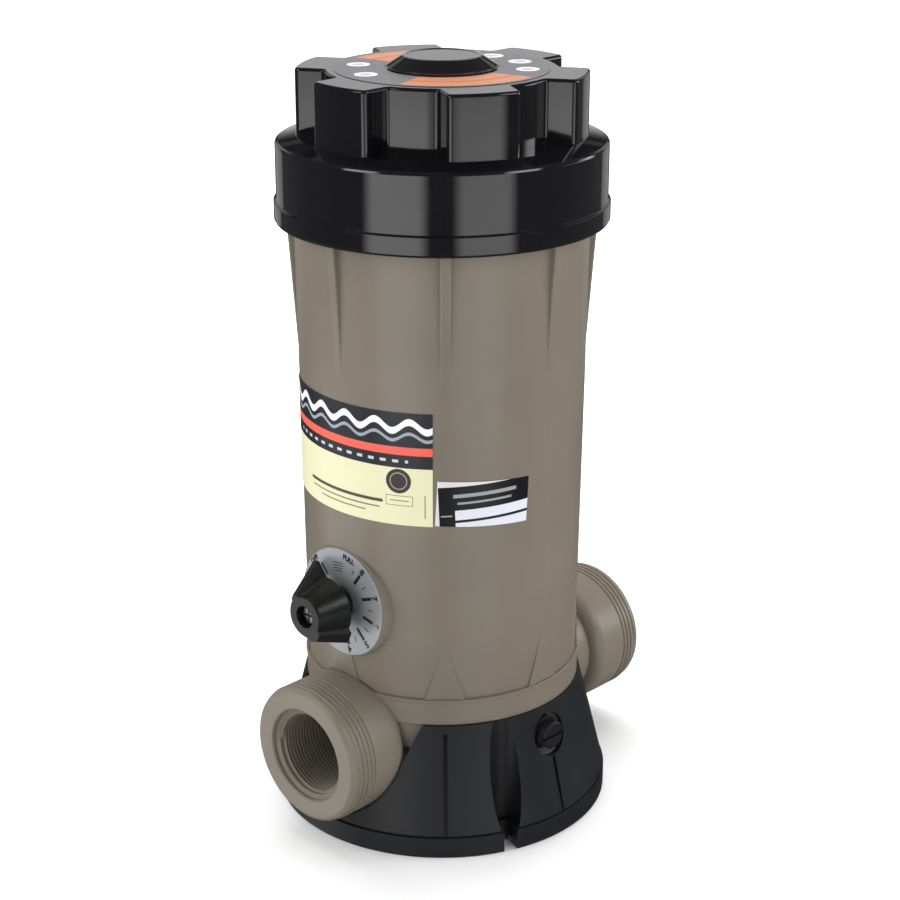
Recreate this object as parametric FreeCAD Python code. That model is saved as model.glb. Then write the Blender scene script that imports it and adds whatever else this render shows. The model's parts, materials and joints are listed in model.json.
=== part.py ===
"""Inline pool chlorinator: a tablet tank with a screwed lid, standing on a hollow base.

Millimetres, +Z up. The origin is on the floor, on the tank's axis. The inlet, the dial and the
front label face -Y, the outlet faces +Y and the drain plug faces +X. Azimuth 0 is -Y, 90 is +X.
"""
import math
import os

import FreeCAD
import Part

Vector = FreeCAD.Vector
UP = Vector(0, 0, 1)
OUT_FRONT = Vector(0, -1, 0)
OUT_BACK = Vector(0, 1, 0)
OUT_SIDE = Vector(1, 0, 0)
ORIGIN = Vector(0, 0, 0)

# Fits
RUNNING_GAP = 0.1        # radial gap of a piece that turns or slides in another
SEAT_GAP = 0.05          # gap between pieces that are seated on each other
LIFT_GAP = 0.3           # gap under a piece that lifts off

# Base
base_ring_radius = 95.0
base_ring_height = 13.0
base_ring_width = 7.5
skirt_foot_step = 0.7      # from the ring foot's outside in to the cone
skirt_top_step = 1.3       # from the housing's rim out to the cone
skirt_height = 60.0
skirt_wall = 3.0
foot_groove_height = 1.0
foot_groove_depth = 0.9
shelf_thickness = 3.0
shelf_margin = 8.0         # from the screws in to the shelf's edge
shelf_drop = 0.5         # from the skirt's top edge down to the shelf
flute_width = 2.2
flute_depth = 1.4
flute_azimuths = (45, 135, 225, 270, 315)
flute_top_margin = 4.0
bolt_azimuths = (67.5, 247.5)
bolt_inset = 8.0           # from the ring foot's outside in to the bolts
bolt_slot_width = 8.0
bolt_pocket_radius = 8.8
bolt_pocket_wall = 2.4
notch_gap = 1.2          # round the port collar
notch_spread = 8.4         # half width at the top, more than the collar
notch_waist_drop = 4.8

# Port housing
base_seat_gap = 0.2        # between the base and the rim
rim_step = 1.4             # from the tank's foot out to the rim
rim_height = 14.8
rim_wall = 3.5
rim_bead = 0.5
rim_bead_height = 1.6
floor_thickness = 6.0
apron_depth = 16.0
apron_half_angle = 36.5
apron_wall = 3.0
port_drop = 33.2           # from the tank's floor down to the pipe's axis
inlet_stand_out = 31.0     # from the rim out to the inlet's face
outlet_stand_out = 56.4
collar_radius = 39.4
thread_relief = 0.7
thread_zone_length = 16.0
inlet_collar_length = 41.8
outlet_collar_length = 40.4
collar_face_round = 2.8
collar_back_round = 8.0
port_neck_step = 6.4       # from the collar in to the neck behind it
port_neck_inset = 12.0     # from the rim in to the neck's start
inlet_overlap = 2.8
outlet_overlap = 6.0
pipe_wall = 7.0
pipe_step = 3.4            # from the socket in to the pipe's bore
socket_radius = 23.9     # major radius of the tapered pipe thread
socket_length = 36.0
mouth_step = 2.4           # from the socket out to its mouth
mouth_depth = 3.6
feed_inset = 21.0          # from the dial boss in to the feed tube
return_inset = 26.6        # from the tank's foot in to where treated water goes back
base_screw_inset = 16.0    # from the rim in to the screws
base_screw_azimuths = (45, 135, 225, 315)
screw_boss_radius = 5.5
base_screw_radius = 2.0
base_screw_head_radius = 4.2
base_screw_head_height = 2.6
base_screw_grip = 9.0
drain_rise = 2.2           # from the pipe's axis up to the drain
drain_boss_wall = 3.7
drain_boss_inset = 3.0     # from the rim in to the boss's face
drain_thread_radius = 6.8
drain_thread_length = 13.0
drain_passage_radius = 4.5
drain_window_radius = 12.0

# Tank
tank_foot_radius = 76.6
tank_draft = 3.1           # from the foot out to the shoulder
tank_wall_height = 249.8
tank_wall = 4.0
tank_flange_step = 3.1     # from the neck out to the flange
tank_flange_height = 3.5
tank_neck_step = 1.5       # from the shoulder out to the neck
tank_neck_wall = 5.0
tank_neck_height = 38.2
rib_count = 8
rib_width = 5.6
rib_inset = 0.5            # from the flange's edge in to a rib's top
rib_length = 69.8
rib_edge_radius = 1.0
gusset_half_width = 11.0
gusset_height = 34.0
gusset_rim_margin = 0.1
dial_rise = 49.4           # from the tank's floor up to the dial
dial_boss_margin = 0.8     # round the dial plate
dial_boss_step = 1.4       # from the tank's foot out to the boss's face
dial_boss_edge_radius = 1.0
valve_case_wall = 2.7
valve_case_length = 36.0
valve_bore_radius = 13.0
valve_lip_step = 2.5
valve_lip_thickness = 2.5
valve_spigot_wall = 3.0
valve_spigot_drop = 25.4   # from the dial's centre down to the spigot's end
bonnet_step = 3.8          # from the valve's bore out to the bonnet's
bonnet_depth = 8.5

# Lid
lid_foot_gap = 0.6         # over the tank's shoulder
lid_bead_step = 1.4
lid_bead_height = 11.5
lid_wall = 3.4
lid_top_wall = 3.3
lid_shoulder_rise = 3.0
lid_bore_gap = 1.1         # round the tank's flange
lid_ceiling_gap = 2.2      # over the neck's top
lid_edge_radius = 1.6
crown_height = 36.5
crown_lug_depth = 15.5
crown_lug_inset = 11.3     # from the band in to the lugs
crown_lug_count = 6
crown_lug_half_width = 19.0
crown_wall = 3.6
crown_outer_corner = 3.0
crown_inner_corner = 2.4
crown_edge_radius = 1.6
lid_seal_inset = 2.2       # from the neck's outside in to the ring's middle
lid_seal_section = 2.6
lid_seal_groove_side = 0.1
centre_hole_radius = 9.0
centre_cap_slope = 8.6
centre_cap_edge = 1.8
centre_cap_height = 6.6
centre_cap_dish = 0.5
centre_stem_length = 9.0

# Valve and knob
rotor_end_gap = 0.3
rotor_bore_radius = 8.5
rotor_bore_depth = 20.0
rotor_port_radii = (0.8, 1.2, 1.6, 2.0, 2.4, 2.8, 3.2, 3.6, 4.0)
valve_marks = (56, 88, 120, 152, 184, 217, 251, 284, 308)  # knob's turn from off to each mark
stem_radius = 5.0
knob_web = 2.35            # of the knob, between the stem's tip and the screw's seat
stem_flat_depth = 1.5
stem_flat_length = 12.0
ring_section = 1.5
rotor_ring_insets = (29.0, 12.0)   # from the dial boss's face in to each ring
dial_plate_radius = 30.8
dial_plate_thickness = 0.8
dial_plate_hole_gap = 1.5  # round the stem
knob_hub_radius = 9.0
knob_hub_length = 9.0
knob_base_radius = 17.0
knob_front_radius = 12.2
knob_length = 27.6
knob_edge_radius = 1.0
knob_recess_gap = 1.6      # round the screw's head
knob_recess_depth = 6.4
pointer_azimuth = 130.0  # at off, counted anticlockwise from the dial's right
pointer_start = 4.0
pointer_reach = 27.0
pointer_front_reach = 13.6
pointer_half_width = 3.8
tail_start = 9.0
tail_reach = 22.0
tail_front_reach = 15.0
tail_half_width = 6.5
fin_front_share = 0.7
knob_screw_head_radius = 4.6
knob_screw_head_height = 3.0
knob_screw_shank_radius = 2.0
knob_screw_length = 12.0

# Drain plug
plug_head_radius = 8.0
plug_head_length = 8.5
plug_slot_width = 1.8
plug_slot_depth = 3.0
plug_shank_length = 11.0
plug_ring_step = 1.2       # from the thread out to the ring's middle
plug_ring_section = 1.4

# Inner pieces
feed_tube_radius = 8.0
feed_tube_wall = 2.0
feed_tube_seat = 4.0
feed_tube_entry = 9.0
grate_gap = 2.2            # round the grate
grate_rise = 12.0
grate_thickness = 4.0
grate_foot_radius = 4.0
grate_foot_inset = 8.4
grate_foot_azimuths = (60, 120, 240, 300)
grate_slot_width = 5.0
grate_slot_pitch = 11.0
grate_rim = 7.0
grate_bridge = 5.0
strainer_radius = 13.0
strainer_height = 9.0
strainer_wall = 2.0
strainer_slot_width = 2.4
strainer_slot_count = 8
restrictor_length = 8.0
restrictor_orifice_radius = 13.0
restrictor_chamfer = 3.0

# Labels
label_gap = 0.1
label_thickness = 0.25
label_strip_angle = 5.0
front_label_half_angle = 40.2
front_label_rise = 52.6    # from the dial's centre up to the label
front_label_height = 62.8
rating_label_gap = 1.668   # round the wall, from the large label to the small one
rating_label_width = 51.4
rating_label_height = 25.2
rating_label_rise = 12.0   # from the large label's foot up to the middle
rating_label_tilt = -2.6
lid_label_margin = 5.0     # from the crown's hollows in to the label
lid_label_width = 27.0
lid_label_cap_gap = 1.0

# Heights that follow, from the floor up
skirt_top_z = base_ring_height + skirt_height
rim_bottom_z = skirt_top_z + base_seat_gap
floor_z = rim_bottom_z + rim_height
port_z = floor_z - port_drop
notch_waist_z = port_z - notch_waist_drop
drain_z = port_z + drain_rise
grate_z = floor_z + grate_rise
dial_z = floor_z + dial_rise
valve_spigot_z = dial_z - valve_spigot_drop
front_label_bottom_z = dial_z + front_label_rise
front_label_top_z = front_label_bottom_z + front_label_height
rating_label_z = front_label_bottom_z + rating_label_rise
tank_shoulder_z = floor_z + tank_wall_height
rib_foot_z = tank_shoulder_z - rib_length
tank_top_z = tank_shoulder_z + tank_neck_height
lid_bottom_z = tank_shoulder_z + lid_foot_gap
lid_ceiling_z = tank_top_z + lid_ceiling_gap
lid_band_top_z = lid_ceiling_z + lid_top_wall
shoulder_inner_z = lid_band_top_z + lid_shoulder_rise
crown_top_z = lid_band_top_z + crown_height
lid_seal_z = tank_top_z + SEAT_GAP + lid_seal_section

# Radii that follow
rim_radius = tank_foot_radius + rim_step
inlet_reach = rim_radius + inlet_stand_out
outlet_reach = rim_radius + outlet_stand_out
port_neck_start = rim_radius - port_neck_inset
skirt_top_radius = rim_radius + skirt_top_step
skirt_foot_radius = base_ring_radius - skirt_foot_step
base_ring_inner_radius = base_ring_radius - base_ring_width
bolt_circle_radius = base_ring_radius - bolt_inset
base_screw_circle = rim_radius - base_screw_inset
shelf_inner_radius = base_screw_circle - shelf_margin
thread_zone_radius = collar_radius - thread_relief
port_neck_radius = collar_radius - port_neck_step
notch_top_half_width = collar_radius + notch_spread
mouth_radius = socket_radius + mouth_step
pipe_bore_radius = socket_radius - pipe_step
pipe_radius = pipe_bore_radius + pipe_wall
drain_boss_radius = drain_thread_radius + drain_boss_wall
drain_boss_reach = rim_radius - drain_boss_inset
plug_ring_circle = drain_thread_radius + plug_ring_step
tank_shoulder_radius = tank_foot_radius + tank_draft
tank_neck_radius = tank_shoulder_radius + tank_neck_step
tank_neck_inner_radius = tank_neck_radius - tank_neck_wall
tank_flange_radius = tank_neck_radius + tank_flange_step
rib_reach = tank_flange_radius - rib_inset
lid_bore_radius = tank_flange_radius + lid_bore_gap
lid_band_radius = lid_bore_radius + lid_wall
lid_bead_radius = lid_band_radius + lid_bead_step
lid_seal_circle = tank_neck_radius - lid_seal_inset
crown_lug_radius = lid_band_radius - crown_lug_inset
crown_disc_radius = crown_lug_radius - crown_lug_depth
lid_label_outer_radius = crown_disc_radius - lid_label_margin
lid_label_inner_radius = lid_label_outer_radius - lid_label_width
centre_cap_radius = lid_label_inner_radius - lid_label_cap_gap
centre_cap_top_radius = centre_cap_radius - centre_cap_slope
grate_radius = tank_foot_radius - tank_wall - grate_gap
grate_foot_circle = grate_radius - grate_foot_inset
passage_radius = feed_tube_radius - feed_tube_wall
valve_spigot_radius = feed_tube_radius + valve_spigot_wall
valve_lip_radius = valve_bore_radius - valve_lip_step
bonnet_radius = valve_bore_radius + bonnet_step
valve_case_radius = bonnet_radius + valve_case_wall
dial_boss_radius = dial_plate_radius + dial_boss_margin
dial_plate_hole_radius = stem_radius + dial_plate_hole_gap
knob_recess_radius = knob_screw_head_radius + knob_recess_gap

# Places along the dial's axis, and of the two ways through the floor
dial_boss_reach = tank_foot_radius + dial_boss_step
dial_face_reach = dial_boss_reach + SEAT_GAP + dial_plate_thickness
valve_case_inner_end = dial_boss_reach - valve_case_length
rotor_ring_places = [dial_boss_reach - inset for inset in rotor_ring_insets]
knob_front_reach = dial_face_reach + LIFT_GAP + knob_length
stem_tip = knob_front_reach - knob_recess_depth - knob_web
stem_flat_start = stem_tip - stem_flat_length
feed_y = feed_inset - dial_boss_reach
return_y = tank_foot_radius - return_inset


def heading(azimuth):
    """Unit vector that points outwards at an azimuth."""
    turn = math.radians(azimuth)
    return Vector(math.sin(turn), -math.cos(turn), 0)


def at(azimuth, radius, height=0.0):
    """Point at an azimuth, a radius and a height."""
    return heading(azimuth) * radius + Vector(0, 0, height)


def turned(shape, azimuth):
    """Copy of a shape made at azimuth 0, turned to another azimuth."""
    copy = shape.copy()
    copy.rotate(ORIGIN, UP, azimuth)
    return copy


def rod(radius, start, end):
    """Cylinder from one point to another."""
    run = end - start
    return Part.makeCylinder(radius, run.Length, start, run)


def spun(outline, base=ORIGIN, axis=UP):
    """Solid of revolution of a closed outline of (radius, distance along the axis) points."""
    side = Vector(1, 0, 0) if abs(axis.x) < 0.5 else Vector(0, 1, 0)
    points = [base + side * radius + axis * along for radius, along in outline]
    wire = Part.makePolygon(points + points[:1])
    return Part.Face(wire).revolve(base, axis, 360)


def slab(points, push):
    """Prism of a closed outline of points, pushed along a vector."""
    return Part.Face(Part.makePolygon(points + points[:1])).extrude(push)


def sector(start, end, reach, low, high):
    """Wedge of a disc between two azimuths and two heights."""
    corners = [Vector(0, 0, low), at(start, reach, low), at(end, reach, low)]
    return slab(corners, UP * (high - low))


def ring(circle, section, base, axis=UP):
    """Sealing ring of round section."""
    return Part.makeTorus(circle, section, base, axis)


def joined(first, *rest):
    """One shape from several that touch or overlap."""
    return first.fuse(list(rest)).removeSplitter()


def single(shape):
    """The one solid of a shape, with its seams cleaned."""
    cleaned = shape.removeSplitter()
    solids = cleaned.Solids
    if len(solids) != 1:
        raise ValueError("expected one solid, found %d" % len(solids))
    return solids[0]


def skirt_radius(z):
    """Outer radius of the base's cone at a height."""
    share = (z - base_ring_height) / (skirt_top_z - base_ring_height)
    return skirt_foot_radius + share * (skirt_top_radius - skirt_foot_radius)


def tank_radius(z):
    """Outer radius of the tank's drafted wall at a height."""
    share = (z - floor_z) / (tank_shoulder_z - floor_z)
    return tank_foot_radius + share * (tank_shoulder_radius - tank_foot_radius)


# Base

def base_shell():
    """Cone, ring foot and screw shelf, before anything is cut."""
    foot_inner = skirt_foot_radius - skirt_wall
    top_inner = skirt_top_radius - skirt_wall
    groove_low = base_ring_height - foot_groove_height
    shelf_top = skirt_top_z - shelf_drop
    shelf_low = shelf_top - shelf_thickness
    slope = (skirt_top_radius - skirt_foot_radius) / (skirt_top_z - base_ring_height)
    shelf_low_radius = foot_inner + (shelf_low - base_ring_height) * slope
    shelf_top_radius = foot_inner + (shelf_top - base_ring_height) * slope
    return spun([
        (base_ring_inner_radius, 0),
        (base_ring_radius - 0.6, 0),
        (base_ring_radius, 0.6),
        (base_ring_radius, groove_low),
        (skirt_foot_radius - foot_groove_depth, groove_low),
        (skirt_foot_radius - foot_groove_depth, base_ring_height),
        (skirt_foot_radius, base_ring_height),
        (skirt_top_radius, skirt_top_z),
        (top_inner, skirt_top_z),
        (shelf_top_radius, shelf_top),
        (shelf_inner_radius, shelf_top),
        (shelf_inner_radius, shelf_low),
        (shelf_low_radius, shelf_low),
        (foot_inner, base_ring_height),
        (base_ring_inner_radius, base_ring_height - 1),
    ])


def bolt_pocket_case(azimuth):
    """Wall round a bolt pocket, kept inside the middle of the cone's own wall."""
    centre = at(azimuth, bolt_circle_radius)
    case = rod(bolt_pocket_radius + bolt_pocket_wall, centre,
               centre + UP * (skirt_top_z - shelf_drop - shelf_thickness / 2))
    half_wall = skirt_wall / 2
    cone = spun([
        (0, 0),
        (skirt_foot_radius - half_wall, 0),
        (skirt_foot_radius - half_wall, base_ring_height),
        (skirt_top_radius - half_wall, skirt_top_z),
        (0, skirt_top_z),
    ])
    return case.common(cone)


def bolt_cut(azimuth):
    """Pocket for a bolt head and washer, with its open slot through the foot."""
    ring_top = base_ring_height - foot_groove_height
    centre = at(azimuth, bolt_circle_radius, ring_top)
    pocket = rod(bolt_pocket_radius, centre, centre + UP * skirt_top_z)
    slot_radius = bolt_slot_width / 2
    low = at(azimuth, bolt_circle_radius - 1.0, -1)
    round_end = rod(slot_radius, low, low + UP * (base_ring_height + 2))
    box = Part.makeBox(bolt_slot_width, 3 * base_ring_height, base_ring_height + 2,
                       Vector(-slot_radius, -bolt_circle_radius + 1.0 - 3 * base_ring_height, -1))
    return pocket.fuse([round_end, turned(box, azimuth)])


def flute(azimuth, low_z, high_z):
    """Narrow groove down the cone's outside."""
    low = skirt_radius(low_z)
    high = skirt_radius(high_z)
    half = flute_width / 2
    outline = [
        Vector(-half, -(low - flute_depth), low_z),
        Vector(-half, -(low + 4), low_z),
        Vector(-half, -(high + 4), high_z),
        Vector(-half, -high, high_z),
        Vector(-half, -(high - flute_depth), high_z - 3 * flute_depth),
    ]
    return turned(slab(outline, Vector(flute_width, 0, 0)), azimuth)


def port_notch(outward):
    """Opening in the cone that a port's collar passes through."""
    radius = collar_radius + notch_gap
    waist = math.sqrt(radius ** 2 - (port_z - notch_waist_z) ** 2)
    top = skirt_top_z + 5
    left_top = Vector(-notch_top_half_width, 0, top)
    left_waist = Vector(-waist, 0, notch_waist_z)
    bottom = Vector(0, 0, port_z - radius)
    right_waist = Vector(waist, 0, notch_waist_z)
    right_top = Vector(notch_top_half_width, 0, top)
    wire = Part.Wire([
        Part.makeLine(left_top, left_waist),
        Part.Arc(left_waist, bottom, right_waist).toShape(),
        Part.makeLine(right_waist, right_top),
        Part.makeLine(right_top, left_top),
    ])
    depth = base_ring_radius + 10
    return Part.Face(wire).extrude(outward * depth)


def make_base():
    """Hollow conical base with its ring foot."""
    shape = joined(base_shell(), *[bolt_pocket_case(a) for a in bolt_azimuths])
    cuts = [bolt_cut(a) for a in bolt_azimuths]
    flute_low = base_ring_height - foot_groove_height
    cuts += [flute(a, flute_low, skirt_top_z - flute_top_margin) for a in flute_azimuths]
    cuts.append(flute(90, flute_low, drain_z - drain_window_radius))
    cuts += [port_notch(OUT_FRONT), port_notch(OUT_BACK)]
    window_end = OUT_SIDE * 2 * base_ring_radius + UP * drain_z
    cuts.append(rod(drain_window_radius, UP * drain_z, window_end))
    hole = base_screw_radius + 0.4
    for azimuth in base_screw_azimuths:
        low = at(azimuth, base_screw_circle, skirt_top_z - 10)
        cuts.append(rod(hole, low, low + UP * 12))
    return single(shape.cut(cuts))


def make_base_screws():
    """Four screws that hold the base up against the housing."""
    shelf_low = skirt_top_z - shelf_drop - shelf_thickness
    screws = []
    for azimuth in base_screw_azimuths:
        foot = at(azimuth, base_screw_circle, shelf_low - SEAT_GAP)
        head = rod(base_screw_head_radius, foot - UP * base_screw_head_height, foot)
        low = foot - UP * (base_screw_head_height + 1)
        slot = Part.makeBox(1.2, 12, 2.2, low - Vector(0.6, 6, 0))
        shank = rod(base_screw_radius, foot, foot + UP * (base_screw_grip + shelf_thickness))
        screws.append(single(head.fuse(shank).cut(slot)))
    return Part.makeCompound(screws)


# Port housing

def collar(outward, reach, length):
    """Port collar with its plain thread zone and both ends rounded."""
    face = outward * reach + UP * port_z
    body = spun([
        (0, 0),
        (thread_zone_radius, 0),
        (thread_zone_radius, thread_zone_length),
        (collar_radius, thread_zone_length + 0.5),
        (collar_radius, length),
        (0, length),
    ], face, outward * -1)
    for along, fillet in ((0, collar_face_round), (length, collar_back_round)):
        centre = face - outward * along
        edges = [e for e in body.Edges if (e.CenterOfMass - centre).Length < 0.01
                 and e.Length > 2 * math.pi * (thread_zone_radius - 0.01)]
        body = body.makeFillet(fillet, edges)
    return body


def port_cut(outward, reach):
    """Mouth, threaded socket and pipe bore of one port."""
    face = outward * reach + UP * port_z
    socket_end = mouth_depth + socket_length
    return spun([
        (0, -1),
        (mouth_radius + 0.8, -1),
        (mouth_radius + 0.8, 0),
        (mouth_radius, 0.8),
        (mouth_radius, mouth_depth - 1.2),
        (socket_radius, mouth_depth),
        (socket_radius, socket_end),
        (pipe_bore_radius, socket_end + 2),
        (pipe_bore_radius, reach),
        (0, reach),
    ], face, outward * -1)


def rim_body():
    """Floor of the tank with its rim."""
    inner = rim_radius - rim_wall
    return spun([
        (0, floor_z - floor_thickness),
        (inner - 2, floor_z - floor_thickness),
        (inner, floor_z - floor_thickness - 2),
        (inner, rim_bottom_z),
        (rim_radius, rim_bottom_z),
        (rim_radius, floor_z - rim_bead_height - 0.5),
        (rim_radius + rim_bead, floor_z - rim_bead_height),
        (rim_radius + rim_bead, floor_z - 0.5),
        (rim_radius, floor_z),
        (0, floor_z),
    ])


def apron(azimuth):
    """Part of the wall that hangs beside a port, where the base is notched."""
    outer = rim_radius - 2.2
    low = rim_bottom_z - apron_depth
    band = spun([
        (outer - apron_wall, low),
        (outer, low),
        (outer, rim_bottom_z + 2),
        (outer - apron_wall, rim_bottom_z + 2),
    ])
    wedge = sector(-apron_half_angle, apron_half_angle, 2 * rim_radius, low - 1, floor_z)
    return turned(band.common(wedge), azimuth)


def make_port_housing():
    """Floor, through pipe, both ports and the bosses under the tank."""
    inlet_end = inlet_reach - inlet_collar_length + inlet_overlap
    outlet_end = outlet_reach - outlet_collar_length + outlet_overlap
    pipe = rod(pipe_radius, Vector(0, -inlet_end, port_z), Vector(0, outlet_end, port_z))
    neck = rod(port_neck_radius, Vector(0, port_neck_start, port_z), Vector(0, outlet_end, port_z))
    feed_boss = rod(feed_tube_radius + 4, Vector(0, feed_y, port_z + 20),
                    Vector(0, feed_y, floor_z - 1))
    return_boss = rod(strainer_radius - strainer_wall - SEAT_GAP,
                      Vector(0, return_y, floor_z - 1), Vector(0, return_y, floor_z + 3))
    drain_boss = rod(drain_boss_radius, Vector(pipe_bore_radius + 2, 0, drain_z),
                     Vector(drain_boss_reach, 0, drain_z))
    boss_low = skirt_top_z - shelf_drop + 0.1
    bosses = [rod(screw_boss_radius, at(a, base_screw_circle, boss_low),
                  at(a, base_screw_circle, floor_z - 1)) for a in base_screw_azimuths]
    shape = joined(
        rim_body(),
        apron(0),
        apron(180),
        pipe,
        neck,
        collar(OUT_FRONT, inlet_reach, inlet_collar_length),
        collar(OUT_BACK, outlet_reach, outlet_collar_length),
        feed_boss,
        return_boss,
        drain_boss,
        *bosses
    )
    cuts = [port_cut(OUT_FRONT, inlet_reach), port_cut(OUT_BACK, outlet_reach)]
    for y in (feed_y, return_y):
        cuts.append(rod(passage_radius, Vector(0, y, port_z), Vector(0, y, floor_z + 5)))
    cuts.append(rod(feed_tube_radius + SEAT_GAP, Vector(0, feed_y, floor_z - feed_tube_seat),
                    Vector(0, feed_y, floor_z + 1)))
    thread_end = drain_boss_reach - drain_thread_length
    cuts.append(rod(drain_passage_radius, Vector(0, 0, drain_z), Vector(thread_end + 1, 0, drain_z)))
    cuts.append(rod(drain_thread_radius + RUNNING_GAP, Vector(thread_end, 0, drain_z),
                    Vector(drain_boss_reach + 1, 0, drain_z)))
    for azimuth in base_screw_azimuths:
        low = at(azimuth, base_screw_circle, boss_low - 1)
        cuts.append(rod(base_screw_radius + SEAT_GAP, low, low + UP * (base_screw_grip + 2)))
    cuts.append(spun([
        (tank_foot_radius - tank_wall - SEAT_GAP, floor_z),
        (rim_radius + SEAT_GAP, floor_z),
        (rim_radius + SEAT_GAP, port_z + collar_radius + 1),
        (tank_foot_radius - tank_wall - SEAT_GAP, port_z + collar_radius + 1),
    ]))
    return single(shape.cut(cuts))


# Tank

def tank_wall_outline():
    """Section of the tank's wall, neck and flange."""
    flange_top = tank_shoulder_z + tank_flange_height
    return [
        (tank_foot_radius - tank_wall, floor_z + SEAT_GAP),
        (tank_foot_radius, floor_z + SEAT_GAP),
        (tank_shoulder_radius, tank_shoulder_z),
        (tank_flange_radius, tank_shoulder_z),
        (tank_flange_radius, flange_top),
        (tank_neck_radius, flange_top),
        (tank_neck_radius, tank_top_z - 1),
        (tank_neck_radius - 1, tank_top_z),
        (tank_neck_inner_radius + 1, tank_top_z),
        (tank_neck_inner_radius, tank_top_z - 1),
        (tank_neck_inner_radius, tank_shoulder_z),
    ]


def tank_hollow():
    """Space inside the tank, to trim what is built through its wall."""
    foot = tank_foot_radius - tank_wall
    return spun([
        (0, floor_z - 2),
        (foot, floor_z - 2),
        (foot, floor_z + SEAT_GAP),
        (tank_neck_inner_radius, tank_shoulder_z),
        (tank_neck_inner_radius, tank_top_z + 5),
        (0, tank_top_z + 5),
    ])


def tank_rib():
    """Tapered rib under the tank's flange, at azimuth 0."""
    half = rib_width / 2
    root = tank_radius(rib_foot_z) - 2
    outline = [
        Vector(-half, -root, rib_foot_z),
        Vector(-half, -tank_radius(rib_foot_z), rib_foot_z),
        Vector(-half, -rib_reach, tank_shoulder_z + 1),
        Vector(-half, -root, tank_shoulder_z + 1),
    ]
    rib = slab(outline, Vector(rib_width, 0, 0))
    edges = [e for e in rib.Edges if abs(e.CenterOfMass.x) > half - 0.01
             and abs(e.CenterOfMass.z - (rib_foot_z + tank_shoulder_z) / 2) < 2
             and e.CenterOfMass.y < -root - 1]
    return rib.makeFillet(rib_edge_radius, edges)


def tank_gusset():
    """Flat triangular gusset over the rim, at azimuth 0."""
    low = floor_z + SEAT_GAP
    high = low + gusset_height
    root = tank_foot_radius - tank_wall / 2
    foot = math.sqrt(rim_radius ** 2 - gusset_half_width ** 2) - gusset_rim_margin
    profile = [
        Vector(-gusset_half_width, -root, low),
        Vector(-gusset_half_width, -foot, low),
        Vector(-gusset_half_width, -tank_radius(high), high),
        Vector(-gusset_half_width, -root, high),
    ]
    front = [
        Vector(-gusset_half_width, 0, low),
        Vector(gusset_half_width, 0, low),
        Vector(0, 0, high),
    ]
    wedge = slab(profile, Vector(2 * gusset_half_width, 0, 0))
    return wedge.common(slab(front, OUT_FRONT * 2 * rim_radius))


def make_tank():
    """Moulded tank with its neck, ribs, gussets, dial boss and valve case."""
    wall = spun(tank_wall_outline())
    step = 360.0 / rib_count
    ribs = [turned(tank_rib(), k * step) for k in range(rib_count)]
    ribs += [turned(tank_gusset(), k * step) for k in range(rib_count)]
    boss = spun([
        (0, 0),
        (dial_boss_radius - dial_boss_edge_radius, 0),
        (dial_boss_radius, dial_boss_edge_radius),
        (dial_boss_radius, 30),
        (0, 30),
    ], Vector(0, -dial_boss_reach, dial_z), OUT_BACK)
    shell = joined(wall, boss.cut(tank_hollow()), *ribs)
    case = rod(valve_case_radius, Vector(0, -valve_case_inner_end, dial_z),
               Vector(0, -dial_boss_reach + 4, dial_z))
    spigot = rod(valve_spigot_radius, Vector(0, feed_y, valve_spigot_z), Vector(0, feed_y, dial_z))
    shell = joined(shell, case, spigot)
    lip_end = valve_case_inner_end + valve_lip_thickness
    cuts = [
        rod(valve_lip_radius, Vector(0, -valve_case_inner_end + 1, dial_z),
            Vector(0, -lip_end - 1, dial_z)),
        rod(valve_bore_radius, Vector(0, -lip_end, dial_z), Vector(0, -dial_boss_reach, dial_z)),
        rod(bonnet_radius + SEAT_GAP, Vector(0, -dial_boss_reach + bonnet_depth, dial_z),
            Vector(0, -dial_boss_reach - 1, dial_z)),
        rod(passage_radius, Vector(0, feed_y, valve_spigot_z - 1), Vector(0, feed_y, dial_z)),
        rod(feed_tube_radius + SEAT_GAP, Vector(0, feed_y, valve_spigot_z - 1),
            Vector(0, feed_y, valve_spigot_z + feed_tube_entry)),
    ]
    return single(shell.cut(cuts))


# Lid

def lugged_block(inset, low, high):
    """Disc with lugs round it, drawn in by an inset, between two heights."""
    disc = rod(crown_disc_radius - inset, UP * low, UP * high)
    limit = rod(crown_lug_radius - inset, UP * low, UP * high)
    half = crown_lug_half_width - inset
    bar = Part.makeBox(2 * half, crown_lug_radius, high - low,
                       Vector(-half, -crown_lug_radius, low)).common(limit)
    step = 360.0 / crown_lug_count
    return joined(disc, *[turned(bar, k * step) for k in range(crown_lug_count)])


def crown_block():
    """Outer block of the crown with its rounded corners and top edge."""
    block = lugged_block(0, lid_band_top_z - 1, crown_top_z)
    upright = [e for e in block.Edges if abs(e.tangentAt(e.FirstParameter).z) > 0.99]
    reach = (crown_disc_radius + crown_lug_radius) / 2
    outer = [e for e in upright if math.hypot(e.CenterOfMass.x, e.CenterOfMass.y) > reach]
    inner = [e for e in upright if math.hypot(e.CenterOfMass.x, e.CenterOfMass.y) <= reach]
    block = block.makeFillet(crown_outer_corner, outer)
    upright = [e for e in block.Edges if abs(e.tangentAt(e.FirstParameter).z) > 0.99]
    inner = [e for e in upright if any(
        (e.CenterOfMass - old.CenterOfMass).Length < 0.1 for old in inner)]
    block = block.makeFillet(crown_inner_corner, inner)
    rim = [e for e in block.Edges if abs(e.CenterOfMass.z - crown_top_z) < 1e-6]
    return block.makeFillet(crown_edge_radius, rim)


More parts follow.
